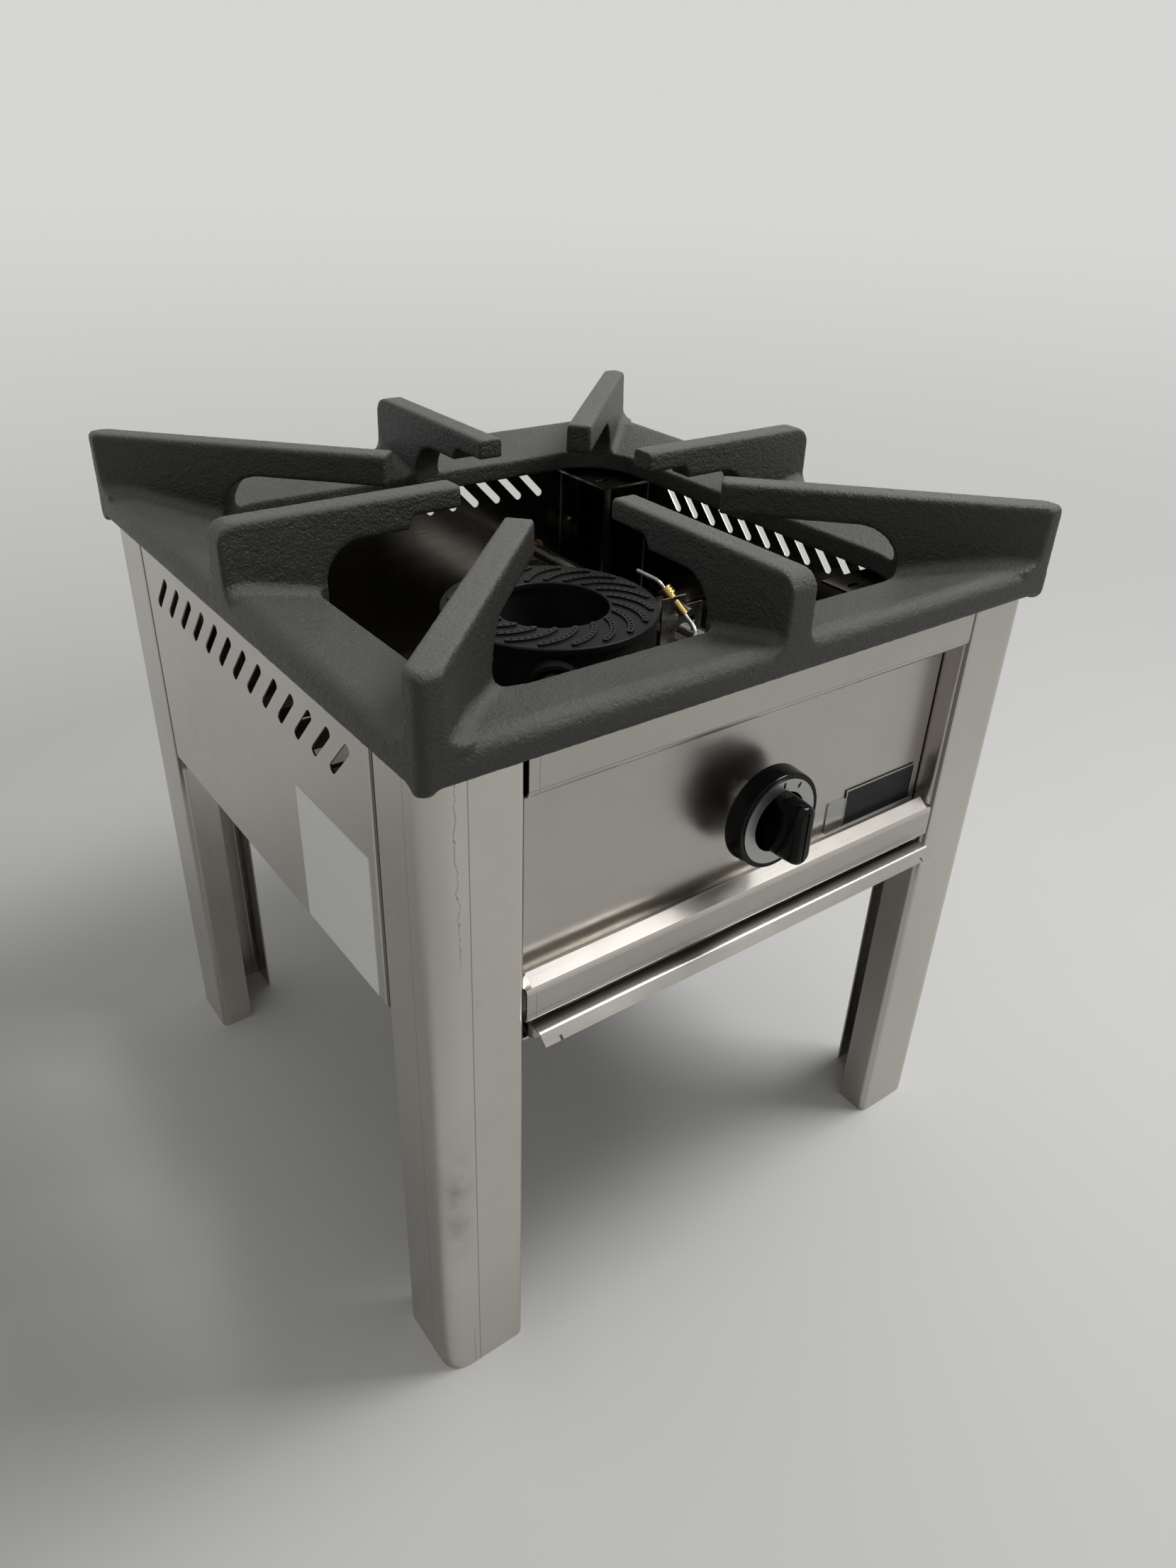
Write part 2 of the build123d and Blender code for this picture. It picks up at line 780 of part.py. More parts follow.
def tray_lip():
    """Handle lip folded over the front wall of the drip tray."""
    top_z = tray_floor_z + tray_height
    flat_y = tray_front_y - lip_flat
    slope_y = flat_y - lip_slope_run
    slope_z = top_z - lip_slope_drop
    path = [(tray_front_y + tray_sheet, top_z), (flat_y, top_z), (slope_y, slope_z)]
    half = leg_inner_x - lip_side_gap
    section = folded_sheet(path, [lip_fold_radius], tray_sheet)
    lip = extrude(Plane.YZ.offset(-half) * section, amount=2 * half)
    slope = Vector(slope_y - flat_y, slope_z - top_z).normalized()
    hem_start = Vector(slope_y, slope_z) - slope * lip_hem_height
    inward = Vector(-slope.Y, slope.X)
    hem_outline = Polyline(
        tuple(hem_start),
        (slope_y, slope_z),
        tuple(Vector(slope_y, slope_z) + inward * (tray_sheet + lip_hem)),
        tuple(hem_start + inward * (tray_sheet + lip_hem)),
        close=True,
    )
    hem_half = half - lip_notch_inset
    lip += extrude(Plane.YZ.offset(-hem_half) * make_face(hem_outline.edges()), amount=2 * hem_half)
    for side in (-1, 1):
        notch = Pos(side * hem_half, slope_y, slope_z)
        lip -= notch * Box(lip_notch_width, 2 * lip_hem_height, 2 * lip_hem_height)
    return lip


def drip_tray():
    """Shallow tray that slides out forwards, with a folded handle lip."""
    length = tray_back_y - tray_front_y
    middle_y = (tray_back_y + tray_front_y) / 2
    outer = Pos(0, middle_y, tray_floor_z + tray_height / 2) * Box(tray_width, length, tray_height)
    outer = fillet(outer.edges().filter_by(Axis.Z), tray_corner_radius)
    outer = fillet(outer.faces().sort_by(Axis.Z)[0].edges(), tray_fold_radius)
    inner_size = (tray_width - 2 * tray_sheet, length - 2 * tray_sheet, tray_height)
    inner = Pos(0, middle_y, tray_floor_z + tray_sheet + tray_height / 2) * Box(*inner_size)
    inner = fillet(inner.edges().filter_by(Axis.Z), tray_corner_radius - tray_sheet)
    inner = fillet(inner.faces().sort_by(Axis.Z)[0].edges(), tray_fold_radius - tray_sheet)
    return outer - inner + tray_lip()


def tray_runner(side):
    """Angle that carries one edge of the drip tray, with a stop behind the tray."""
    web_x = front_length()
    low_z = tray_floor_z - seat_gap - runner_sheet
    path = [(web_x - runner_flange, low_z), (web_x, low_z), (web_x, low_z + runner_height)]
    section = folded_sheet(path, [runner_fold_radius], runner_sheet)
    plane = Plane(origin=(0, runner_end_y, 0), x_dir=(1, 0, 0), z_dir=(0, -1, 0))
    shape = extrude(plane * section, amount=2 * runner_end_y)
    stop_y = tray_back_y + seat_gap + runner_sheet / 2
    stop_x = web_x - runner_sheet / 2 - runner_stop_width / 2
    stop_z = low_z + runner_height / 2
    shape += Pos(stop_x, stop_y, stop_z) * Box(runner_stop_width, runner_sheet, runner_height)
    screw_z = tray_floor_z + runner_screw_rise
    for y in (-half_depth + screw_inset, half_depth - screw_inset):
        shape -= rod((web_x - runner_flange, y, screw_z), (web_x + cut_margin, y, screw_z), screw_hole_radius)
    return shape if side > 0 else mirror(shape, about=Plane.YZ)


def sheet_screws():
    """Screws that hold the panels to the leg returns."""
    screws = []
    side_plane = leg_inner_y - panel_end_gap - panel_sheet
    back_plane = leg_inner_x - panel_end_gap - panel_sheet
    front_plane = front_length() - panel_sheet
    for z in (screw_low_z, screw_high_z):
        for side in (-1, 1):
            for end in (-1, 1):
                screws.append(screw((side * (half_width - screw_inset), end * side_plane, z), (0, end, 0)))
            screws.append(screw((side * back_plane, half_depth - screw_inset, z), (side, 0, 0)))
            screws.append(screw((side * front_plane, -half_depth + front_screw_inset, z), (side, 0, 0)))
    return Compound(screws)


def runner_screws():
    """Screws that hold the runners to the leg returns."""
    screws = []
    plane = front_length() - runner_sheet
    z = tray_floor_z + runner_screw_rise
    for side in (-1, 1):
        for end in (-1, 1):
            screws.append(screw((side * plane, end * (half_depth - screw_inset), z), (side, 0, 0)))
    return Compound(screws)


def burner_bar(y):
    """Flat bar across the body that carries the burner, turned down and welded at each end."""
    reach = half_width - panel_sheet
    shape = Pos(0, y, bar_top_z - bar_sheet / 2) * Box(2 * reach, bar_width, bar_sheet)
    for side in (-1, 1):
        tab = Pos(side * (reach - bar_sheet / 2), y, bar_top_z - bar_tab / 2)
        shape += tab * Box(bar_sheet, bar_width, bar_tab)
    return shape


def burner_body():
    """Cast ring trough with a neck for the mixing tube."""
    floor_z = trough_bottom_z + trough_floor
    neck = rod(neck_point(trough_inner), neck_point(neck_reach), neck_radius)
    ring = Pos(0, 0, trough_bottom_z) * extrude(Circle(trough_outer), amount=trough_height)
    shape = ring + neck
    shape -= Pos(0, 0, trough_bottom_z) * extrude(Circle(trough_inner), amount=trough_height)
    channel = Circle(trough_outer - trough_wall) - Circle(trough_inner + trough_wall)
    shape -= Pos(0, 0, floor_z) * extrude(channel, amount=trough_height)
    bore_start = (trough_outer + trough_inner) / 2
    shape -= rod(neck_point(bore_start), neck_point(neck_reach), tube_radius + tube_fit)
    mouth_start = neck_reach - neck_mouth_depth
    return shape - rod(neck_point(mouth_start), neck_point(neck_reach), neck_mouth_radius)


def burner_rib():
    """One low curved rib with its row of square flame holes."""
    def spot(radius, angle):
        return (radius * math.cos(math.radians(angle)), radius * math.sin(math.radians(angle)))
    middle_radius = (rib_inner_radius + rib_outer_radius) / 2
    bow_angle = math.degrees(rib_bow / middle_radius)
    inner = spot(rib_inner_radius, 0)
    middle = spot(middle_radius, -rib_sweep / 2 + bow_angle)
    outer = spot(rib_outer_radius, -rib_sweep)
    spine = ThreePointArc(inner, middle, outer)
    foot_z = cap_top_z - cut_margin
    body = extrude(Pos(0, 0, foot_z) * SlotArc(spine, rib_width), amount=burner_top_z - foot_z)
    for index in range(rib_holes):
        along = (index + 0.5) / rib_holes
        turn = math.degrees(math.atan2((spine % along).Y, (spine % along).X))
        place = Pos(*(spine @ along)) * Pos(0, 0, burner_top_z) * Rot(0, 0, turn)
        body -= place * Box(rib_hole_width, rib_hole_width, 2 * rib_hole_depth)
    return body


def burner_cap():
    """Flat cast ring with curved slotted ribs that drops into the trough."""
    plate = Circle(burner_radius) - Circle(burner_hole_radius)
    shape = extrude(Pos(0, 0, cap_bottom_z) * plate, amount=cap_plate)
    shape = fillet(shape.faces().sort_by(Axis.Z)[-1].edges(), cap_edge_radius)
    outer_rim = trough_outer - trough_wall - cap_clearance
    inner_rim = trough_inner + trough_wall + cap_clearance
    for outside in (outer_rim, inner_rim + cap_rim_wall):
        rim = Circle(outside) - Circle(outside - cap_rim_wall)
        shape += extrude(Pos(0, 0, cap_bottom_z - cap_rim_depth) * rim, amount=cap_rim_depth)
    rib = burner_rib()
    ribs = [Rot(0, 0, rib_phase + 360 / rib_count * index) * rib for index in range(rib_count)]
    return shape + ribs


def mixing_tube():
    """Steel tube from the burner's neck to a drilled end plate."""
    shape = rod(neck_point(tube_start), neck_point(tube_end), tube_radius)
    shape += rod(neck_point(tube_end - end_plate), neck_point(tube_end), end_plate_radius)
    shape -= rod(neck_point(tube_start), neck_point(tube_end - end_plate), tube_radius - tube_wall)
    shape -= rod(neck_point(tube_start), neck_point(tube_end), injector_shank_radius)
    return shape - air_holes(tube_end - end_plate, tube_end)


def air_holes(start, end):
    """Ring of air holes about the neck's axis."""
    plane = Plane(origin=neck_point(start), x_dir=(0, 0, 1), z_dir=Vector(*neck_point(1, 0)))
    places = PolarLocations(air_hole_circle, air_hole_count)
    holes = Sketch() + [place * Circle(air_hole_radius) for place in places]
    return extrude(plane * holes, amount=end - start)


def air_shutter():
    """Drilled disc that turns on the injector and opens or closes the air holes."""
    start = tube_end + shutter_gap
    end = start + shutter_sheet
    shape = rod(neck_point(start), neck_point(end), end_plate_radius)
    plane = Plane(origin=neck_point(start), x_dir=(0, 0, 1), z_dir=Vector(*neck_point(1, 0)))
    reach = end_plate_radius + shutter_tab / 2
    tab = Rectangle(shutter_tab + end_plate_radius / 2, shutter_tab_width)
    shape += extrude(plane * Pos(-reach + end_plate_radius / 4, 0) * tab, amount=shutter_sheet)
    shape -= rod(neck_point(start), neck_point(end), injector_shank_radius + injector_fit)
    return shape - air_holes(start, end)


def injector():
    """Brass jet held in the end plate, with a nut face and an inlet neck."""
    shoulder = tube_end + 2 * shutter_gap + shutter_sheet
    hex_end = shoulder + injector_hex_length
    tip = tube_end - end_plate - injector_tip_length
    shape = rod(neck_point(tube_end - end_plate), neck_point(shoulder), injector_shank_radius)
    shape += rod(neck_point(tip), neck_point(tube_end - end_plate), injector_tip_radius)
    shape += hex_bar(neck_point(shoulder), neck_point(hex_end), injector_hex)
    shape += rod(neck_point(hex_end), neck_point(hex_end + injector_neck_length), injector_neck_radius)
    return shape - rod(neck_point(tip), neck_point(hex_end), injector_jet_radius)


def injector_end():
    """Distance along the neck's axis at which the injector ends."""
    return tube_end + 2 * shutter_gap + shutter_sheet + injector_hex_length + injector_neck_length


def gas_valve():
    """Brass valve behind the panel, with a threaded snout, three ports and the stem's chamber."""
    back_y = valve_front_y + valve_length
    snout_y = panel_front_y - snout_reach
    shape = rod((knob_x, valve_front_y, knob_z), (knob_x, back_y, knob_z), valve_radius)
    shape += rod((knob_x, snout_y, knob_z), (knob_x, valve_front_y, knob_z), snout_radius)
    for side in (-1, 1):
        shape += rod((knob_x, valve_port_y, knob_z),
                     (knob_x + side * port_reach, valve_port_y, knob_z), port_radius)
    shape += rod((knob_x, valve_port_y, knob_z), (knob_x, valve_port_y, knob_z + pilot_port_reach),
                 pilot_port_radius)
    bore_end = stem_back_y + push_travel + stem_end_gap
    shape -= rod((knob_x, snout_y, knob_z), (knob_x, bore_end, knob_z), stem_radius + stem_fit)
    chamber_y = valve_front_y + chamber_inset
    shape -= rod((knob_x, chamber_y, knob_z), (knob_x, chamber_y + chamber_length, knob_z),
                 collar_radius + collar_side_gap)
    return shape


def valve_nut():
    """Lock nut that clamps the valve's snout to the panel."""
    front = (knob_x, panel_front_y - valve_nut_length, knob_z)
    back = (knob_x, panel_front_y, knob_z)
    return hex_bar(front, back, valve_nut_hex) - rod(front, back, snout_radius)


def stem_collar():
    """Ring that carries the stem against its return spring and does not turn with it."""
    start = valve_front_y + chamber_inset + seat_gap
    front = (knob_x, start, knob_z)
    back = (knob_x, start + collar_length, knob_z)
    return rod(front, back, collar_radius) - rod(front, back, stem_radius + collar_bore_fit)


def valve_stem():
    """Round stem from inside the valve to inside the knob."""
    front_y = knob_face_y - grip_reach / 2
    return rod((knob_x, front_y, knob_z), (knob_x, stem_back_y, knob_z), stem_radius)


def knob():
    """Round hollow knob with a bar grip, a recess for the dial and a boss on the stem."""
    skirt_plane = Plane(origin=(knob_x, knob_back_y, knob_z), z_dir=(0, -1, 0))
    depth = knob_skirt_depth + knob_rim
    front_plane = skirt_plane.offset(depth)
    skirt = loft([skirt_plane * Circle(knob_back_radius), front_plane * Circle(knob_front_radius)])
    skirt = fillet(skirt.faces().sort_by(Axis.Y)[0].edges(), knob_rim)
    face = (knob_x, knob_face_y, knob_z)
    beyond = (knob_x, knob_face_y - depth, knob_z)
    skirt -= rod(face, beyond, dial_radius + dial_fit)
    skirt -= rod((knob_x, knob_face_y + hub_recess, knob_z), beyond, dial_hub_radius)
    hollow_depth = knob_skirt_depth - knob_wall - hub_recess
    skirt -= extrude(skirt_plane * Circle(knob_front_radius - knob_wall), amount=hollow_depth)
    boss_start = (knob_x, knob_back_y - knob_boss_gap, knob_z)
    skirt += rod(boss_start, (knob_x, knob_face_y + hub_recess + knob_wall / 2, knob_z), knob_boss_radius)

    grip_plane = Plane(origin=(knob_x, knob_face_y + hub_recess + knob_wall / 2, knob_z),
                       x_dir=(1, 0, 0), z_dir=(0, -1, 0))
    grip_depth = grip_reach + hub_recess + knob_wall / 2
    grip = extrude(grip_plane * SlotOverall(grip_height, grip_width, rotation=90), amount=grip_depth)
    grip = fillet(grip.faces().sort_by(Axis.Y)[0].edges(), grip_edge_radius)
    stem_front = (knob_x, knob_face_y - grip_reach / 2, knob_z)
    return skirt + grip - rod(boss_start, stem_front, stem_radius)


def knob_dial():
    """Thin metal ring set in the knob's face."""
    plane = Plane(origin=(knob_x, knob_face_y, knob_z), x_dir=(1, 0, 0), z_dir=(0, -1, 0))
    ring = Circle(dial_radius) - Circle(dial_hub_radius)
    grip = SlotOverall(grip_height + 2 * dial_fit, grip_width + 2 * dial_fit, rotation=90)
    return extrude(plane * (ring - grip), amount=dial_sheet)


def supply_pipe():
    """Steel pipe from the valve's inlet port to the back of the body."""
    start = (knob_x + port_reach, valve_port_y, knob_z)
    corner = (supply_x, valve_port_y, knob_z)
    end = (supply_x, half_depth - panel_sheet - seat_gap, knob_z)
    return bent_tube([start, corner, end], supply_bend, supply_radius, supply_wall)


def inlet_fitting():
    """Threaded gas inlet behind the back panel, with its hexagon against the panel."""
    inside_y = half_depth - panel_sheet - seat_gap
    start = (supply_x, inside_y, knob_z)
    flange = (supply_x, half_depth, knob_z)
    hex_end = (supply_x, half_depth + inlet_hex_length, knob_z)
    end = (supply_x, inlet_end_y, knob_z)
    shape = rod(start, end, inlet_radius) + hex_bar(flange, hex_end, inlet_hex)
    return shape - rod(start, end, inlet_bore)


def pipe_clamps():
    """Two straps that hold the supply pipe up against the cross bars."""
    hug = supply_radius + clamp_fit
    drop = bar_bottom_z - knob_z
    straps = []
    for y in (-bar_y, bar_y):
        plane = Plane(origin=(supply_x, y + clamp_width / 2, knob_z), x_dir=(1, 0, 0), z_dir=(0, -1, 0))
        outside = Circle(hug + clamp_sheet) + Pos(0, drop / 2) * Rectangle(2 * (hug + clamp_sheet), drop)
        ears = Pos(0, drop - clamp_sheet / 2) * Rectangle(2 * (hug + clamp_sheet + clamp_ear), clamp_sheet)
        inside = Circle(hug) + Pos(0, drop / 2) * Rectangle(2 * hug, drop)
        straps.append(extrude(plane * (outside + ears - inside), amount=clamp_width))
    return Compound(straps)


def feed_pipe():
    """Tube from the valve's outlet port up and round to the injector."""
    turn = neck_point(valve_port_y / math.sin(math.radians(neck_angle)))
    start = (knob_x - port_reach, valve_port_y, knob_z)
    low = (turn[0], turn[1], knob_z)
    return bent_tube([start, low, turn, neck_point(injector_end())], feed_bend, feed_radius)


def pilot_direction():
    """Unit vector from the pilot's foot to its nut."""
    lean = math.radians(pilot_lean)
    turn = math.radians(90 + pilot_turn)
    return Vector(math.sin(lean) * math.cos(turn), math.sin(lean) * math.sin(turn), math.cos(lean))


def pilot_foot():
    """Point where the pilot passes through its bracket."""
    return Vector(pilot_x, bracket_y, pilot_z)


def pilot_burner():
    """Brass pilot with two rings and a nut at its upper end."""
    way = pilot_direction()
    foot = pilot_foot() - way * (pilot_length / 3)
    head = foot + way * pilot_length
    shape = rod(tuple(foot), tuple(head), pilot_radius)
    for index in range(pilot_rings):
        ring_end = head - way * (index * pilot_ring_pitch)
        shape += rod(tuple(ring_end - way * pilot_ring_length), tuple(ring_end), pilot_nut_radius)
    return shape


def pilot_tip():
    """Steel pilot tube that bends over the ring's edge."""
    way = pilot_direction()
    start = pilot_foot() + way * (pilot_length * 2 / 3)
    knee = start + way * pilot_tip_rise
    end = knee + Vector(0, pilot_tip_reach, 0)
    return bent_tube([tuple(start), tuple(knee), tuple(end)], pilot_tip_bend, pilot_tip_radius)


def pilot_bracket():
    """Folded plate that stands on a cross bar and holds the pilot and the thermocouple."""
    wing_end = bracket_x + bracket_wing_reach
    strip_end = bracket_x + bracket_strip
    outline = Polyline(
        (bracket_x, bar_top_z),
        (strip_end, bar_top_z),
        (strip_end, bracket_wing_low_z),
        (wing_end, bracket_wing_low_z),
        (wing_end, bracket_wing_high_z),
        (strip_end + bracket_arc_radius, bracket_wing_high_z),
        (strip_end + bracket_arc_radius, bracket_top_z),
        (bracket_x, bracket_top_z),
        close=True,
    )
    face = make_face(outline.edges())
    face -= Pos(strip_end + bracket_arc_radius, bracket_wing_low_z) * Circle(bracket_arc_radius)
    plane = Plane(origin=(0, bracket_y + bracket_sheet / 2, 0), x_dir=(1, 0, 0), z_dir=(0, -1, 0))
    shape = extrude(plane * face, amount=bracket_sheet)
    foot_y = bracket_y - bracket_foot / 2 + bracket_sheet / 2
    foot_x = bracket_x + bracket_strip / 2
    foot_z = bar_top_z + bracket_sheet / 2
    shape += Pos(foot_x, foot_y, foot_z) * Box(bracket_strip, bracket_foot, bracket_sheet)
    way = pilot_direction()
    shape -= rod(tuple(pilot_foot() - way * pilot_length), tuple(pilot_foot() + way * pilot_length),
                 pilot_radius + dial_fit)
    shape -= bracket_screw_hole()
    front = bracket_y - bracket_foot
    back = bracket_y + bracket_foot
    shape -= rod((bracket_hole_x, front, bracket_hole_z), (bracket_hole_x, back, bracket_hole_z),
                 bracket_hole_radius)
    shape -= rod((thermocouple_x, front, thermocouple_z), (thermocouple_x, back, thermocouple_z),
                 thermocouple_sleeve_radius)
    return shape


def bracket_screw():
    """Screw through the bracket's foot."""
    point = (bracket_x + bracket_strip / 2, bracket_y - bracket_foot / 2, bar_top_z + bracket_sheet)
    return screw(point, (0, 0, -1))


def bracket_screw_hole():
    """Hole for the bracket's screw through its foot and the cross bar."""
    x = bracket_x + bracket_strip / 2
    y = bracket_y - bracket_foot / 2
    top = bar_top_z + bracket_sheet
    return rod((x, y, bar_bottom_z - cut_margin), (x, y, top + cut_margin), screw_hole_radius)


def thermocouple():
    """Thin sensing rod in a sleeve held by the bracket."""
    sleeve_front = (thermocouple_x, bracket_y - thermocouple_sleeve / 2, thermocouple_z)
    sleeve_back = (thermocouple_x, bracket_y + thermocouple_sleeve / 2, thermocouple_z)
    tip = (thermocouple_x, bracket_y + thermocouple_reach, thermocouple_z)
    sleeve = rod(sleeve_front, sleeve_back, thermocouple_sleeve_radius)
    return sleeve + rod(sleeve_back, tip, thermocouple_radius)


def pilot_pipe():
    """Thin tube from the valve's top port to the pilot's foot."""
    foot = pilot_foot() - pilot_direction() * (pilot_length / 3)
    start = (knob_x, valve_port_y, knob_z + pilot_port_reach)
    return bent_tube(
        [
            start,
            (knob_x, valve_port_y, pilot_line_z + pilot_line_rise),
            (pilot_line_x, pilot_line_y, pilot_line_z),
            tuple(foot - pilot_direction() * pilot_line_end),
            tuple(foot),
        ],
        pilot_line_bend,
        pilot_line_radius,
    )


def rating_plate():
    """Bare thin plate on the left panel."""
    y = -half_depth + rating_front_inset + rating_width / 2
    z = rating_low_z + rating_height / 2
    return Pos(-half_width - rating_sheet / 2, y, z) * Box(rating_sheet, rating_width, rating_height)


def badge(left, width, height, low_z):
    """Bare plate with rounded corners on the control panel."""
    plane = Plane(origin=(left + width / 2, panel_front_y, low_z + height / 2),
                  x_dir=(1, 0, 0), z_dir=(0, -1, 0))
    return extrude(plane * RectangleRounded(width, height, badge_corner), amount=badge_sheet)


def corner_name(side_x, side_y):
    """Name of a corner, seen from the front."""
    return ("front_" if side_y < 0 else "back_") + ("left" if side_x < 0 else "right")


def all_parts():
    """Every node's name with its shape."""
    parts = {}
    for side_x in (-1, 1):
        for side_y in (-1, 1):
            corner = corner_name(side_x, side_y)
            parts["leg_" + corner] = leg(side_x, side_y)
            parts["corner_plate_" + corner] = corner_plate(side_x, side_y)
    parts["side_panel_left"] = side_panel(-1)
    parts["side_panel_right"] = side_panel(1)
    parts["back_panel"] = back_panel()
    parts["front_top_band"] = front_top_band()
    parts["control_panel"] = control_panel()
    parts["front_lower_rail"] = front_lower_rail()
    parts["drip_tray"] = drip_tray()
    parts["tray_runner_left"] = tray_runner(-1)
    parts["tray_runner_right"] = tray_runner(1)
    parts["panel_screws"] = sheet_screws()
    parts["runner_screws"] = runner_screws()
    parts["pan_support"] = pan_support()
    parts["burner_bar_front"] = burner_bar(-bar_y) - bracket_screw_hole()
    parts["burner_bar_back"] = burner_bar(bar_y)
    parts["burner_body"] = burner_body()
    parts["burner_cap"] = burner_cap()
    parts["mixing_tube"] = mixing_tube()
    parts["air_shutter"] = air_shutter()
    parts["injector"] = injector()
    parts["gas_valve"] = gas_valve()
    parts["valve_nut"] = valve_nut()
    parts["stem_collar"] = stem_collar()
    parts["valve_stem"] = valve_stem()
    parts["knob"] = knob()
    parts["knob_dial"] = knob_dial()
    parts["supply_pipe"] = supply_pipe()
    parts["inlet_fitting"] = inlet_fitting()
    parts["pipe_clamps"] = pipe_clamps()
    parts["feed_pipe"] = feed_pipe()
    parts["pilot_pipe"] = pilot_pipe()
    parts["pilot_burner"] = pilot_burner()
    parts["pilot_tip"] = pilot_tip()
    parts["pilot_bracket"] = pilot_bracket()
    parts["bracket_screw"] = bracket_screw()
    parts["thermocouple"] = thermocouple()
    parts["rating_plate"] = rating_plate()
    parts["badge_plate"] = badge(badge_left, badge_width, badge_height, badge_low_z)
    parts["badge_tab"] = badge(badge_left - badge_tab_width, badge_tab_width, badge_tab_height, badge_low_z)
    return parts


os.makedirs("parts", exist_ok=True)
for name, shape in all_parts().items():
    export_step(shape, "parts/" + name + ".step")
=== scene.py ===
import bmesh
import math
import bpy
from mathutils import Matrix, Vector


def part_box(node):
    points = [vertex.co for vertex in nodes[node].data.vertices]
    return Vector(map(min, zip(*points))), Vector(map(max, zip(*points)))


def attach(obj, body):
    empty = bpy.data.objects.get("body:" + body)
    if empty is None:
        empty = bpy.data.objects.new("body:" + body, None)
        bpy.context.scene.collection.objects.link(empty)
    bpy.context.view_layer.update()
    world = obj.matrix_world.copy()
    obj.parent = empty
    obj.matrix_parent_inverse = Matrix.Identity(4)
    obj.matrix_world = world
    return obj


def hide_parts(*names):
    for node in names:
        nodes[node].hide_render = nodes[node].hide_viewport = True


# Gas wok burner. Metres, +Z up, front towards -Y, origin on the floor below the middle of the ring.

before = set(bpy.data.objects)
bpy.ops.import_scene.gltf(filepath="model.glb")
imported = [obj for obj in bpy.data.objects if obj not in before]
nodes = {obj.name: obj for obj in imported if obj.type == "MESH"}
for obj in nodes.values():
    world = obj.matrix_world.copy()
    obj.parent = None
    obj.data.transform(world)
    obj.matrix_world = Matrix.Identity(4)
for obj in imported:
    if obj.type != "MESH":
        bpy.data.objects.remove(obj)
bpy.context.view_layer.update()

# The photograph's camera
IMAGE_WIDTH = 1659
CAMERA_PLACE = Vector((-0.4635, -0.654, 0.769))
CAMERA_YAW = math.radians(37.773)
CAMERA_PITCH = math.radians(-31.143)
CAMERA_ROLL = math.radians(2.362)
CAMERA_FOCUS_PIXELS = 1590.38
SENSOR_WIDTH = 36.0
NEAREST_SEEN = 0.01

# Floor, backdrop, sky and lamp
FLOOR_COLOR = (0.52, 0.52, 0.51)
FLOOR_SHADE = 0.97
FLOOR_ROUGHNESS = 0.7
FLOOR_SPECULAR = 0.2
FLOOR_CLOUDS = (3.0, 4.0, 0.6)
FLOOR_NEAR = 0.9
FLOOR_REACH = 9.0
FLOOR_HALF = 40.0
BACKDROP_COLOR = (0.67, 0.67, 0.66)
SKY_COLOR = (1.0, 0.995, 0.98)
HORIZON_LIGHT = 0.10
CEILING_LIGHT = 0.56
CEILING_FROM = 0.9
LAMP_PLACE = (1.0, -0.5, 2.0)
LAMP_TARGET = (0.0, 0.0, 0.3)
LAMP_SIZE = 0.8
LAMP_POWER = 37.0

# Sizes read from the frame
knob_low, knob_high = [Vector(corner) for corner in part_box("knob")]
dial_low, dial_high = [Vector(corner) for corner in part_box("knob_dial")]
badge_low, badge_high = [Vector(corner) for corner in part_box("badge_plate")]
rail_low, rail_high = [Vector(corner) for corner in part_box("front_lower_rail")]
body_low = Vector(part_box("leg_front_left")[0])
panel_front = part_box("control_panel")[0][1]
cap_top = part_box("burner_cap")[1][2]
casting_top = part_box("pan_support")[1][2]

# Below, a noise field is its features per metre, detail and roughness, a bump is its height and
# strength, and a roughness in brackets is the lowest and the highest that the noise gives.
NOISE_RANGE = (0.3, 0.7)
SPOT_RANGE = (0.2, 1.0)

# Sheet metal: grain directions, colours and unevenness
GRAIN_X = (0.02, 1.0, 1.0)
GRAIN_Y = (1.0, 0.02, 1.0)
GRAIN_Z = (1.0, 1.0, 0.02)
STEEL_COLOR = (0.56, 0.53, 0.49)
STEEL_DARKER = (0.545, 0.515, 0.475)
STEEL_PALER = (0.60, 0.575, 0.535)
SMUDGE_COLOR = (0.42, 0.39, 0.35)
STEEL_CLOUDS = (7.0, 4.0, 0.6)
STEEL_GRAIN = (900.0, 2.0, 0.5)
STEEL_SMUDGES = (26.0, 5.0, 0.65)
STEEL_SATIN = 0.28
STEEL_ROUGHNESS = (0.27, 0.31)
SMUDGE_EDGE = (0.60, 0.8)
SMUDGE_STRENGTH = 0.25
SMUDGE_MATT = (0.4, 0.8)
SMUDGE_ROUGHNESS = 0.06
GRAIN_BUMP = (0.000008, 0.3)
# Painted shade: darker copies of the same steel for the drip tray, the front strips and panel, and
# the front right leg
TRAY_SHADE_TONE = 0.62
FRONT_SHADE_TONE = 0.80
RIGHT_LEG_SHADE_TONE = 0.90

# Painted shade on the insides of the sheet metal: a darker, glossier finish, and where it begins
SHEET = 0.0012
INNER_SHADE_COLOR = (0.17, 0.155, 0.135)
INNER_GLOSS = -0.13
INNER_FLOOR = 0.283
INNER_FADE = 0.004
LEG_CORNER = 0.015
LEG_INNER_X = 0.1838
LEG_INNER_Y = 0.1828
LEG_SHADE = 0.2
LEG_FADE = 0.03
WALL_EDGE = (-0.0002, 0.0001)
PANEL_EDGE = (0.5 * SHEET, 0.7 * SHEET)
TRAY_EDGE = (0.0042, 0.0046)

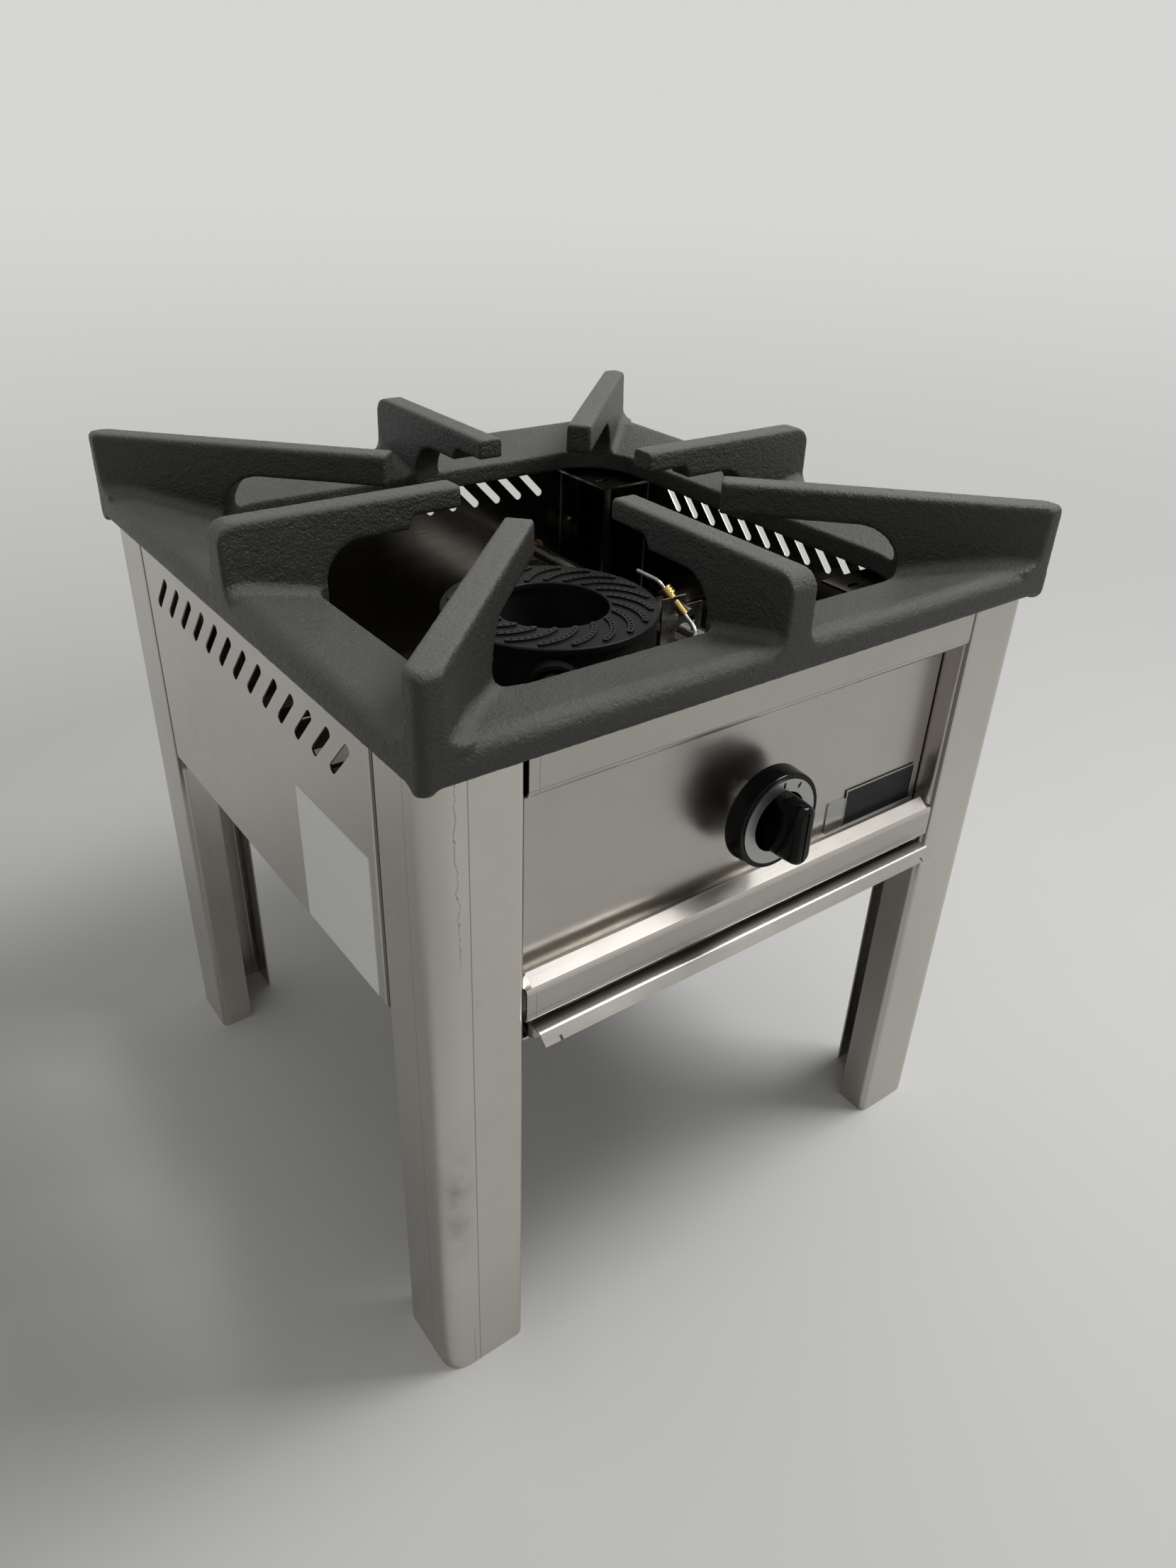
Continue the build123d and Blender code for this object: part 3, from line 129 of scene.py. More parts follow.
# Lines left by the protective film: distance from the leg's or strip's edge, and strength
FILM_COLOR = (0.20, 0.185, 0.165)
FILM_LINE = 0.0006
LINE_EDGE = (0.35 * FILM_LINE, 0.65 * FILM_LINE)
FILM_SWAY = 0.0006
FILM_SWAY_NOISE = (30.0, 3.0, 0.6)
FILM_TEAR = 0.0016
FILM_TEAR_NOISE = (90.0, 4.0, 0.7)
LONG_LINE = (0.0232, 0.75)
TORN_LINE = (0.0158, 0.6)
TORN_ENDS = (0.355, 0.372)
FOOT_LINE = (0.0190, 0.5)
FOOT_ENDS = (0.030, 0.042)
SIDE_LINE = (0.0250, 0.6)
FACE_DEPTH = (0.0004, 0.0008)
STRIP_LOW_LINE = (0.0062, 0.6)
STRIP_END_LINE = (0.0068, 0.5)

# Stain low on the front left leg
STAIN_ACROSS = 0.010
STAIN_HEIGHT = 0.175
STAIN_RADII = (0.014, 0.02, 0.075)
STAIN_NOISE = (45.0, 3.0, 0.55)
STAIN_EDGE = (0.35, 0.75)
STAIN_STRENGTH = 0.55

# Drawn and turned metals: unevenness, then colour, roughness and the nodes made of each
METAL_CLOUDS = (160.0, 4.0, 0.6)
METAL_MOTTLE = (0.35, 0.7)
METAL_SHADE = 0.75
METAL_ROUGHER = (-0.06, 0.08)
METAL_BUMP = (0.00005, 0.4)
TURNED_METALS = {
    "screw_metal": ((0.62, 0.61, 0.60), 0.22, ("panel_screws", "runner_screws", "bracket_screw")),
    "tube_metal": ((0.50, 0.49, 0.47), 0.3,
                   ("mixing_tube", "air_shutter", "supply_pipe", "pipe_clamps", "pilot_tip",
                    "pilot_bracket", "thermocouple", "valve_nut")),
    "soft_aluminium": ((0.66, 0.66, 0.67), 0.34, ("feed_pipe", "pilot_pipe")),
    "turned_brass": ((0.72, 0.50, 0.20), 0.24,
                     ("injector", "gas_valve", "stem_collar", "valve_stem", "inlet_fitting",
                      "pilot_burner")),
}

# Thin plates: satin, then colour, metallic, roughness, specular and the nodes made of each
PLATE_SATIN = (1600.0, 2.0, 0.5)
PLATE_SHINE = 1.12
PLATE_ROUGHER = (-0.05, 0.05)
PLATE_BUMP = (0.00002, 0.4)
PLATES = {
    "dial_metal": ((0.36, 0.36, 0.345), 1.0, 0.35, 0.5, ("knob_dial", "badge_tab")),
    "label_film": ((0.72, 0.72, 0.70), 0.0, 0.45, 0.5, ("rating_plate",)),
    "badge_black": ((0.010, 0.010, 0.011), 0.0, 0.45, 0.2, ("badge_plate",)),
}

# Coating of the pan support
CAST_COLOR = (0.06, 0.06, 0.057)
CAST_DARKER = (0.054, 0.056, 0.047)
CAST_PALER = (0.070, 0.072, 0.061)
# Painted shade on the faces that don't face up
CAST_SIDE_SHADE = (0.020, 0.021, 0.018)
CAST_TOP_PALER = (0.082, 0.083, 0.075)
CAST_PIT = (0.02, 0.02, 0.018)
CAST_SATIN = 0.4
CAST_SPECULAR = 0.4
CAST_ROUGHNESS = (0.26, 0.44)
FACING_UP = (0.15, 0.85)
TOP_PALE_DEPTH = 0.0012
TOP_PALE_STRENGTH = 0.5
CAST_CLOUDS = (14.0, 3.0, 0.5)
CAST_SAND = (480.0, 5.0, 0.62)
CAST_LUMPS = (170.0, 3.0, 0.5)
PITS_PER_METRE = 95.0
PIT_EDGE = (0.04, 0.16)
PIT_SHADE = 0.5
LUMP_BUMP = (0.0009, 0.7)
SAND_BUMP = (0.0015, 1.0)
PIT_BUMP = (0.0004, 0.6)

# Mesh of the pan support
CAST_VOXEL = 0.0019
CAST_SMOOTHING = 2
CAST_SMOOTH_FACTOR = 0.5
CAST_RELIEF = 0.00045
CAST_GRAIN = 0.004
CAST_GRAIN_DEPTH = 2

# Black iron of the burner
BURNER_COLOR = (0.008, 0.008, 0.008)
BURNER_DARKER = (0.004, 0.004, 0.004)
BURNER_PALER = (0.012, 0.012, 0.011)
BURNER_RIB_TOP = (0.020, 0.020, 0.019)
BURNER_SATIN = 0.4
BURNER_SPECULAR = 0.15
BURNER_ROUGHNESS = (0.30, 0.48)
BURNER_SAND = (1100.0, 4.0, 0.6)
BURNER_BUMP = (0.0003, 0.7)
RIB_TOP_DEPTHS = (0.0004, 0.0001)
RIB_TOP_RANGE = (0.3, 0.6)
RIB_TOP_LEAST = 0.3

# Black plastic of the knob
KNOB_COLOR = (0.003, 0.003, 0.003)
KNOB_DARKER = (0.002, 0.002, 0.002)
KNOB_PALER = (0.004, 0.004, 0.004)
KNOB_SATIN = 0.12
KNOB_SPECULAR = 0.13
KNOB_ROUGHNESS = (0.08, 0.16)
KNOB_CLOUDS = (200.0, 3.0, 0.5)
KNOB_BUMP = (0.00005, 0.3)

# Knob as a turned shape: radii and insets from its rim, with heights above its back
KNOB_STEPS = 128
KNOB_BORE = 0.0041
KNOB_SLEEVE = 0.0080
KNOB_WALL = 0.0040
KNOB_HOLLOW = 0.0110
KNOB_BACK_EDGE = ((0.0040, 0.0018), (0.0032, 0.0014), (0.0006, 0.0014), (0.0, 0.0020))

# Its front edge, dial seat and hub recess, with depths in front of the dial's back
DIAL_SETBACK = 0.00045
KNOB_FRONT_EDGE = ((0.0009, -0.0002), (0.0010, 0.0006), (0.0014, 0.0011), (0.0021, 0.0012))
DIAL_SEAT = ((0.0003, 0.0008), (0.0002, 0.0))
RECESS_RADIUS = 0.0211
RECESS_DRAFT = 0.0002
RECESS_DEPTH = 0.0030

# Bar grip: outline, and insets with the part of its reach or the drop from its front
GRIP_SIZE = (0.0165, 0.044)
GRIP_CORNER = 0.0068
GRIP_CORNER_STEPS = 12
GRIP_DRAFT = (0.0004, 0.6)
GRIP_BEVEL = ((0.0008, 0.0042), (0.0012, 0.0024), (0.0019, 0.0010), (0.0029, 0.0003), (0.0042, 0.0))

# Drop-shaped marks on the dial: turns from its top, place, size, and height with size of each layer
DIAL_MARKS = (0.0, math.radians(31.0))
MARK_REACH = 0.0265
MARK_SIZE = (0.0011, 0.0023)
MARK_TAPER = 0.3
MARK_STEPS = 24
MARK_LAYERS = ((0.0, 1.0), (0.00006, 1.0), (0.0001, 0.8))

# Rim round the black plate: width, and place with inset of each layer
BADGE_RIM = 0.0011
BADGE_RIM_LAYERS = ((0.0002, 0.0), (-0.0002, 0.0), (-0.0004, 0.0002))

# Sloping lip on the lower rail's ledge: distances behind the rail's face and above the ledge
TRIM_SECTION = (
    (0.0, -0.0035), (0.0002, -0.0012), (0.0010, 0.0004), (0.0079, 0.0059), (0.0086, 0.0065),
    (0.0095, 0.0063), (0.0130, 0.0), (0.0118, -0.0002), (0.0040, -0.0002), (0.0013, -0.0020),
    (0.0012, -0.0035),
)
TRIM_MITRE = 0.004
TRIM_END_RISE = 0.06

# Edges sharper than these angles in degrees stay sharp
MESH_SHARP = 38.0
TRIM_SHARP = 12.0


def tinted(color, factor):
    """A colour times a factor."""
    return tuple(factor * part for part in color)


class Finish:
    """A node material with short ways to add and join its nodes."""

    def __init__(self, name, color, metallic, roughness, specular=0.5):
        self.material = bpy.data.materials.new(name)
        self.material.use_nodes = True
        self.tree = self.material.node_tree
        self.shader = self.tree.nodes["Principled BSDF"]
        self.set("Base Color", (*color, 1.0))
        self.set("Metallic", metallic)
        self.set("Roughness", roughness)
        self.set("Specular IOR Level", specular)
        self.place = self.add("ShaderNodeTexCoord").outputs["Object"]

    def add(self, kind):
        return self.tree.nodes.new(kind)

    def join(self, output, socket):
        self.tree.links.new(output, socket)

    def set(self, socket, value):
        self.shader.inputs[socket].default_value = value

    def drive(self, socket, output):
        self.join(output, self.shader.inputs[socket])

    def noise(self, scale, detail, rough, stretch=(1, 1, 1)):
        """Smooth random field from 0 to 1, about one feature per 1 / scale metres."""
        mapping = self.add("ShaderNodeMapping")
        mapping.inputs["Scale"].default_value = stretch
        self.join(self.place, mapping.inputs["Vector"])
        node = self.add("ShaderNodeTexNoise")
        for socket, number in (("Scale", scale), ("Detail", detail), ("Roughness", rough)):
            node.inputs[socket].default_value = number
        self.join(mapping.outputs["Vector"], node.inputs["Vector"])
        return node.outputs["Fac"]

    def cells(self, scale):
        """Distance to the nearest of many scattered points, in cell sizes."""
        node = self.add("ShaderNodeTexVoronoi")
        node.inputs["Scale"].default_value = scale
        self.join(self.place, node.inputs["Vector"])
        return node.outputs["Distance"]

    def span(self, value, low, high, to_low, to_high):
        """Maps a value's range onto another, clamped."""
        node = self.add("ShaderNodeMapRange")
        sockets = ("From Min", "From Max", "To Min", "To Max")
        for socket, number in zip(sockets, (low, high, to_low, to_high)):
            node.inputs[socket].default_value = number
        self.join(value, node.inputs["Value"])
        return node.outputs["Result"]

    def spread(self, noise, to_low=0, to_high=1):
        """Maps a noise field's usual range onto another, clamped."""
        return self.span(noise, *NOISE_RANGE, to_low, to_high)

    def math(self, operation, first, second=0.0):
        node = self.add("ShaderNodeMath")
        node.operation = operation
        for socket, value in zip(node.inputs, (first, second)):
            if isinstance(value, (int, float)):
                socket.default_value = value
            else:
                self.join(value, socket)
        return node.outputs["Value"]

    def most(self, *values):
        """The largest of some values."""
        result = values[0]
        for value in values[1:]:
            result = self.math("MAXIMUM", result, value)
        return result

    def product(self, *values):
        result = values[0]
        for value in values[1:]:
            result = self.math("MULTIPLY", result, value)
        return result

    def vector(self, operation, first, second=None):
        """A vector operation with a socket and a constant."""
        node = self.add("ShaderNodeVectorMath")
        node.operation = operation
        self.join(first, node.inputs[0])
        if second is not None:
            node.inputs[1].default_value = second
        return node.outputs["Value" if operation == "LENGTH" else "Vector"]

    def blend(self, factor, first, second):
        """Mixes two colours by a factor from 0 to 1."""
        node = self.add("ShaderNodeMix")
        node.data_type = "RGBA"
        colors = {"A": first, "B": second}
        for socket in node.inputs:
            if socket.type == "RGBA" and socket.name in colors:
                value = colors[socket.name]
                if isinstance(value, tuple):
                    socket.default_value = (*value, 1.0)
                else:
                    self.join(value, socket)
        self.join(factor, node.inputs["Factor"])
        return next(socket for socket in node.outputs if socket.type == "RGBA")

    def split(self, vector, name):
        """One coordinate of a vector."""
        node = self.add("ShaderNodeSeparateXYZ")
        self.join(vector, node.inputs["Vector"])
        return node.outputs[name]

    def axis(self, name):
        """One coordinate of the surface point."""
        return self.split(self.place, name)

    def upward(self):
        """How far the surface faces up, from -1 to 1."""
        return self.split(self.add("ShaderNodeNewGeometry").outputs["True Normal"], "Z")

    def apart(self, value, centre):
        """How far a value is from a centre."""
        return self.math("ABSOLUTE", self.math("SUBTRACT", value, centre))

    def line(self, value, edge, offset, strength):
        """Thin line of the film at an offset from an edge."""
        return self.span(self.apart(value, edge + offset), *LINE_EDGE, strength, 0)

    def spot(self, centre, radii):
        """Soft blot that is 1 in its middle and 0 outside an ellipsoid."""
        squeezed = self.vector("DIVIDE", self.vector("SUBTRACT", self.place, centre), radii)
        return self.span(self.vector("LENGTH", squeezed), *SPOT_RANGE, 1, 0)

    def bump(self, height, distance, strength, below=None):
        """Bump normal from a height field that is 1 at the given distance."""
        node = self.add("ShaderNodeBump")
        node.inputs["Strength"].default_value = strength
        node.inputs["Distance"].default_value = distance
        self.join(height, node.inputs["Height"])
        if below is not None:
            self.join(below, node.inputs["Normal"])
        return node.outputs["Normal"]


def shaded_inside_walls(finish):
    """Mask of the painted shade on the surfaces inside the chamber's rounded walls and inside the
    folded legs.
    """
    across = finish.apart(finish.axis("X"), 0.0)
    along = finish.apart(finish.axis("Y"), 0.0)
    height = finish.axis("Z")
    beyond_x = finish.most(finish.math("ADD", across, body_low.x + LEG_CORNER), 0.0)
    beyond_y = finish.most(finish.math("ADD", along, body_low.y + LEG_CORNER), 0.0)
    squares = finish.math("ADD", finish.math("POWER", beyond_x, 2.0),
                          finish.math("POWER", beyond_y, 2.0))
    reach = LEG_CORNER - SHEET / 2
    wall = [reach + shift for shift in WALL_EDGE]
    within = finish.span(finish.math("SQRT", squares), *wall, 1, 0)
    leg = finish.product(finish.math("GREATER_THAN", across, LEG_INNER_X),
                         finish.math("GREATER_THAN", along, LEG_INNER_Y),
                         finish.span(height, INNER_FLOOR - LEG_FADE, INNER_FLOOR, LEG_SHADE, 1))
    behind_panel = finish.math("GREATER_THAN", finish.axis("Y"), panel_front + SHEET / 2)
    chamber = finish.product(finish.span(height, INNER_FLOOR, INNER_FLOOR + INNER_FADE, 0, 1),
                             behind_panel)
    return finish.product(within, finish.most(leg, chamber))


def shaded_inside_panel(finish):
    """Mask of the painted shade on the control panel's back and flanges."""
    return finish.span(finish.axis("Y"), *[panel_front + depth for depth in PANEL_EDGE], 0, 1)


def shaded_inside_tray(finish):
    """Mask of the painted shade on the drip tray, without its lip."""
    return finish.span(finish.axis("Y"), *[rail_low.y + depth for depth in TRAY_EDGE], 0, 1)


def film_on_leg(finish):
    """Edges of the protective film and a stain on the front left leg."""
    sway = finish.spread(finish.noise(*FILM_SWAY_NOISE, GRAIN_Z), -FILM_SWAY, FILM_SWAY)
    tear = finish.spread(finish.noise(*FILM_TEAR_NOISE), -FILM_TEAR, FILM_TEAR)
    x, y, z = [finish.axis(name) for name in "XYZ"]
    swayed_x = finish.math("ADD", x, sway)
    swayed_y = finish.math("ADD", y, sway)
    torn_x = finish.math("ADD", x, tear)
    long_line = finish.line(swayed_x, body_low.x, *LONG_LINE)
    torn_line = finish.product(finish.line(torn_x, body_low.x, *TORN_LINE),
                               finish.span(z, *TORN_ENDS, 0, 1))
    foot_line = finish.product(finish.line(swayed_x, body_low.x, *FOOT_LINE),
                               finish.span(z, *FOOT_ENDS, 1, 0))
    side_line = finish.line(swayed_y, body_low.y, *SIDE_LINE)
    on_left = finish.span(x, *[body_low.x + depth for depth in FACE_DEPTH], 1, 0)
    on_front = finish.span(y, *[body_low.y + depth for depth in FACE_DEPTH], 1, 0)
    lines = finish.most(finish.product(finish.most(long_line, torn_line, foot_line), on_front),
                        finish.product(side_line, on_left))
    stain = finish.product(
        finish.spot((body_low.x + STAIN_ACROSS, body_low.y, STAIN_HEIGHT), STAIN_RADII),
        finish.span(finish.noise(*STAIN_NOISE), *STAIN_EDGE, 0, STAIN_STRENGTH))
    return finish.most(lines, stain)


def film_on_strip(finish, node):
    """Film edges along the lower edge and the left end of a front strip."""
    left, _, low_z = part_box(node)[0]
    return finish.most(finish.line(finish.axis("Z"), low_z, *STRIP_LOW_LINE),
                       finish.line(finish.axis("X"), left, *STRIP_END_LINE))


def film_on_band(finish):
    return film_on_strip(finish, "front_top_band")


def film_on_rail(finish):
    return film_on_strip(finish, "front_lower_rail")


def sheet_steel(name, grain, inside=None, film=None, shade_tone=1.0):
    """Satin stainless sheet with grain, clouds, smudges and film edges, painted shade on its
    insides and a painted shade tone over all.
    """
    finish = Finish(name, STEEL_COLOR, 1.0, STEEL_SATIN)
    clouds = finish.spread(finish.noise(*STEEL_CLOUDS))
    grain_field = finish.noise(*STEEL_GRAIN, grain)
    smudges = finish.noise(*STEEL_SMUDGES)
    # painted shade: the steel's colours scaled down by the shade tone
    color = finish.blend(clouds, tinted(STEEL_DARKER, shade_tone), tinted(STEEL_PALER, shade_tone))
    smudged = finish.span(smudges, *SMUDGE_EDGE, 0, SMUDGE_STRENGTH)
    color = finish.blend(smudged, color, SMUDGE_COLOR)
    rough = finish.math("ADD", finish.spread(grain_field, *STEEL_ROUGHNESS),
                        finish.span(smudges, *SMUDGE_MATT, 0, SMUDGE_ROUGHNESS))
    if film is not None:
        color = finish.blend(film(finish), color, FILM_COLOR)
    # painted shade: the insides turn darker and glossier where the mask is
    if inside is not None:
        shade_mask = inside(finish)
        color = finish.blend(shade_mask, color, INNER_SHADE_COLOR)
        rough = finish.math("ADD", rough, finish.product(shade_mask, INNER_GLOSS))
    finish.drive("Base Color", color)
    finish.drive("Roughness", rough)
    finish.drive("Normal", finish.bump(grain_field, *GRAIN_BUMP))
    return finish.material


def cast_iron(name):
    """Grey satin coating over a sand-cast surface, with painted shade on the faces that don't face
    up and paler on its highest tops.
    """
    finish = Finish(name, CAST_COLOR, 0.0, CAST_SATIN, CAST_SPECULAR)
    sand = finish.noise(*CAST_SAND)
    pits = finish.span(finish.cells(PITS_PER_METRE), *PIT_EDGE, 0, 1)
    color = finish.blend(finish.spread(finish.noise(*CAST_CLOUDS)), CAST_DARKER, CAST_PALER)
    # painted shade: faces that turn away from upward get a darker colour
    color = finish.blend(finish.span(finish.upward(), *FACING_UP, 0, 1), CAST_SIDE_SHADE, color)
    # paler colour on the casting's highest tops
    pale_tops = finish.span(finish.axis("Z"), casting_top - TOP_PALE_DEPTH, casting_top, 0, TOP_PALE_STRENGTH)
    color = finish.blend(pale_tops, color, CAST_TOP_PALER)
    color = finish.blend(finish.span(pits, 0.0, 0.5, PIT_SHADE, 0), color, CAST_PIT)
    finish.drive("Base Color", color)
    finish.drive("Roughness", finish.spread(sand, *CAST_ROUGHNESS))
    coarse = finish.bump(finish.noise(*CAST_LUMPS), *LUMP_BUMP)
    fine = finish.bump(sand, *SAND_BUMP, coarse)
    finish.drive("Normal", finish.bump(pits, *PIT_BUMP, fine))
    return finish.material


def burner_iron(name):
    """Near-black cast iron with slightly paler rib tops."""
    finish = Finish(name, BURNER_COLOR, 0.0, BURNER_SATIN, BURNER_SPECULAR)
    sand = finish.noise(*BURNER_SAND)
    color = finish.blend(sand, BURNER_DARKER, BURNER_PALER)
    # paler colour on the rib tops, in patches
    rib_tops = finish.span(finish.axis("Z"), *[cap_top - depth for depth in RIB_TOP_DEPTHS], 0, 1)
    paler_tops = finish.product(rib_tops, finish.span(sand, *RIB_TOP_RANGE, RIB_TOP_LEAST, 1))
    finish.drive("Base Color", finish.blend(paler_tops, color, BURNER_RIB_TOP))
    finish.drive("Roughness", finish.spread(sand, *BURNER_ROUGHNESS))
    finish.drive("Normal", finish.bump(sand, *BURNER_BUMP))
    return finish.material


def turned_metal(name, color, roughness):
    """Drawn or turned metal with a slight cloudiness."""
    finish = Finish(name, color, 1.0, roughness)
    clouds = finish.noise(*METAL_CLOUDS)
    mottle = finish.span(clouds, *METAL_MOTTLE, 0, 1)
    finish.drive("Base Color", finish.blend(mottle, tinted(color, METAL_SHADE), color))
    finish.drive("Roughness", finish.spread(clouds, *[roughness + step for step in METAL_ROUGHER]))
    finish.drive("Normal", finish.bump(clouds, *METAL_BUMP))
    return finish.material


def gloss_black(name):
    """Moulded black plastic with a faint unevenness."""
    finish = Finish(name, KNOB_COLOR, 0.0, KNOB_SATIN, KNOB_SPECULAR)
    clouds = finish.noise(*KNOB_CLOUDS)
    finish.drive("Base Color", finish.blend(clouds, KNOB_DARKER, KNOB_PALER))
    finish.drive("Roughness", finish.spread(clouds, *KNOB_ROUGHNESS))
    finish.drive("Normal", finish.bump(clouds, *KNOB_BUMP))
    return finish.material


def plate(name, color, metallic, roughness, specular):
    """Thin printed or anodised plate with a fine satin."""
    finish = Finish(name, color, metallic, roughness, specular)
    satin = finish.noise(*PLATE_SATIN, GRAIN_X)
    finish.drive("Base Color", finish.blend(satin, color, tinted(color, PLATE_SHINE)))
    finish.drive("Roughness", finish.spread(satin, *[roughness + step for step in PLATE_ROUGHER]))
    finish.drive("Normal", finish.bump(satin, *PLATE_BUMP))
    return finish.material


def dress(material, *names):
    """Gives CAD nodes a finish."""
    for name in names:
        mesh = nodes[name].data
        if not mesh.materials:
            mesh.materials.append(material)
        for index in range(len(mesh.materials)):
            mesh.materials[index] = material


def dress_sheets():
    """The finish of every CAD node of sheet steel."""
    # each entry: grain, painted shade mask of the insides, film edges, painted shade tone, and the
    # nodes
    sheets = {
        "steel_upright": (GRAIN_Z, shaded_inside_walls, None, 1.0, ("leg_back_left", "leg_back_right")),
        "steel_shaded_right_leg": (GRAIN_Z, shaded_inside_walls, None, RIGHT_LEG_SHADE_TONE, ("leg_front_right",)),
        "steel_filmed_leg": (GRAIN_Z, shaded_inside_walls, film_on_leg, 1.0, ("leg_front_left",)),
        "steel_across": (GRAIN_X, shaded_inside_walls, None, 1.0,
                         ("back_panel", "burner_bar_front", "burner_bar_back",
                          "corner_plate_front_left", "corner_plate_front_right",
                          "corner_plate_back_left", "corner_plate_back_right")),
        "steel_filmed_shaded_band": (GRAIN_X, shaded_inside_walls, film_on_band, FRONT_SHADE_TONE, ("front_top_band",)),
        "steel_filmed_shaded_rail": (GRAIN_X, shaded_inside_walls, film_on_rail, FRONT_SHADE_TONE,
                              ("front_lower_rail",)),
        "steel_shaded_panel": (GRAIN_X, shaded_inside_panel, None, FRONT_SHADE_TONE, ("control_panel",)),
        "steel_shaded_tray": (GRAIN_X, shaded_inside_tray, None, TRAY_SHADE_TONE, ("drip_tray",)),
        "steel_deep": (GRAIN_Y, shaded_inside_walls, None, 1.0,
                       ("side_panel_left", "side_panel_right", "tray_runner_left",
                        "tray_runner_right")),
    }
    for name, (grain, inside, film, shade_tone, names) in sheets.items():
        dress(sheet_steel(name, grain, inside, film, shade_tone), *names)


def dress_others():
    """The finish of every other CAD node."""
    for name, (color, roughness, names) in TURNED_METALS.items():
        dress(turned_metal(name, color, roughness), *names)
    for name, (color, metallic, roughness, specular, names) in PLATES.items():
        dress(plate(name, color, metallic, roughness, specular), *names)
    dress(cast_iron("pan_casting_finish"), "pan_support")
    dress(burner_iron("burner_casting"), "burner_body", "burner_cap")
    dress(gloss_black("knob_plastic"), "knob")


def finish_of(node):
    """The material of a CAD node."""
    return nodes[node].data.materials[0]


def add_piece(name, mesh, material, body):
    """Adds a mesh to the scene with a finish, moving with a body."""
    piece = bpy.data.objects.new(name, mesh)
    bpy.context.scene.collection.objects.link(piece)
    mesh.materials.clear()
    mesh.materials.append(material)
    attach(piece, body)
    return piece


def mesh_of(name, shape, sharp=MESH_SHARP):
    """Mesh made from a bmesh, smooth except at its sharp edges."""
    bmesh.ops.recalc_face_normals(shape, faces=shape.faces)
    mesh = bpy.data.meshes.new(name)
    shape.to_mesh(mesh)
    shape.free()
    mesh.shade_smooth()
    mesh.set_sharp_from_angle(angle=math.radians(sharp))
    return mesh


def bridge(shape, rings, closed_start=True):
    """Skins a row of equal rings of points and closes its end."""
    rows = [[shape.verts.new(point) for point in ring] for ring in rings]
    for first, second in zip(rows, rows[1:]):
        for index in range(len(first)):
            after = (index + 1) % len(first)
            shape.faces.new((first[index], first[after], second[after], second[index]))
    if closed_start:
        shape.faces.new(rows[0])
    shape.faces.new(rows[-1])


def knob_point(x, depth, z):
    """Point beside the knob's axis, at a depth in front of the dial's back."""
    middle = (knob_low + knob_high) / 2
    return (middle.x + x, dial_high.y + DIAL_SETBACK - depth, middle.z + z)


def knob_ring(radius, depth):
    """Ring of points round the knob's axis."""
    turns = [2 * math.pi * index / KNOB_STEPS for index in range(KNOB_STEPS)]
    return [knob_point(radius * math.cos(turn), depth, radius * math.sin(turn)) for turn in turns]


def grip_ring(inset, depth):
    """Outline of the bar grip, drawn in by an inset."""
    corner = GRIP_CORNER - inset / 2
    half_width = GRIP_SIZE[0] / 2 - inset - corner
    half_height = GRIP_SIZE[1] / 2 - inset - corner
    points = []
    for quarter, (side_x, side_z) in enumerate(((1, 1), (-1, 1), (-1, -1), (1, -1))):
        for step in range(GRIP_CORNER_STEPS + 1):
            turn = math.pi / 2 * (quarter + step / GRIP_CORNER_STEPS)
            x = side_x * half_width + corner * math.cos(turn)
            z = side_z * half_height + corner * math.sin(turn)
            points.append(knob_point(x, depth, z))
    return points


def make_knob():
    """Knob with a thin raised rim, a deep hub recess and a bevelled bar grip."""
    rim = (knob_high.x - knob_low.x) / 2
    seat = (dial_high.x - dial_low.x) / 2
    back = dial_high.y - knob_high.y
    front = dial_high.y - knob_low.y
    profile = [(KNOB_BORE, back), (KNOB_SLEEVE, back), (KNOB_SLEEVE, back + KNOB_HOLLOW),
               (rim - KNOB_WALL, back + KNOB_HOLLOW)]
    profile += [(rim - inset, back + height) for inset, height in KNOB_BACK_EDGE]
    profile += [(rim - inset, depth) for inset, depth in KNOB_FRONT_EDGE]
    profile += [(seat + gap, depth) for gap, depth in DIAL_SEAT]
    profile += [(RECESS_RADIUS, 0.0), (RECESS_RADIUS - RECESS_DRAFT, -RECESS_DEPTH)]
    shape = bmesh.new()
    bridge(shape, [knob_ring(radius, depth) for radius, depth in profile], closed_start=False)
    layers = [(0.0, -RECESS_DEPTH), (GRIP_DRAFT[0], GRIP_DRAFT[1] * front)]
    layers += [(inset, front - drop) for inset, drop in GRIP_BEVEL]
    bridge(shape, [grip_ring(inset, depth) for inset, depth in layers])
    mesh = mesh_of("knob_moulding", shape)
    piece = add_piece("knob_moulding", mesh, finish_of("knob"), "knob")
    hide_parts("knob")


def make_dial_marks():
    """Two small dark drops on the dial, at its top and clockwise of it."""
    middle = (dial_low + dial_high) / 2
    angles = [2 * math.pi * step / MARK_STEPS for step in range(MARK_STEPS)]
    shape = bmesh.new()
    for turn in DIAL_MARKS:
        rings = []
        for depth, size in MARK_LAYERS:
            ring = []
            for angle in angles:
                taper = 1 - MARK_TAPER * math.sin(angle)
                across = size * MARK_SIZE[0] * math.cos(angle) * taper
                out = MARK_REACH + size * MARK_SIZE[1] * math.sin(angle)
                ring.append((middle.x + out * math.sin(turn) + across * math.cos(turn),
                             dial_low.y - depth,
                             middle.z + out * math.cos(turn) - across * math.sin(turn)))
            rings.append(ring)
        bridge(shape, rings)
    add_piece("dial_marks", mesh_of("dial_marks", shape), finish_of("knob"), "knob")


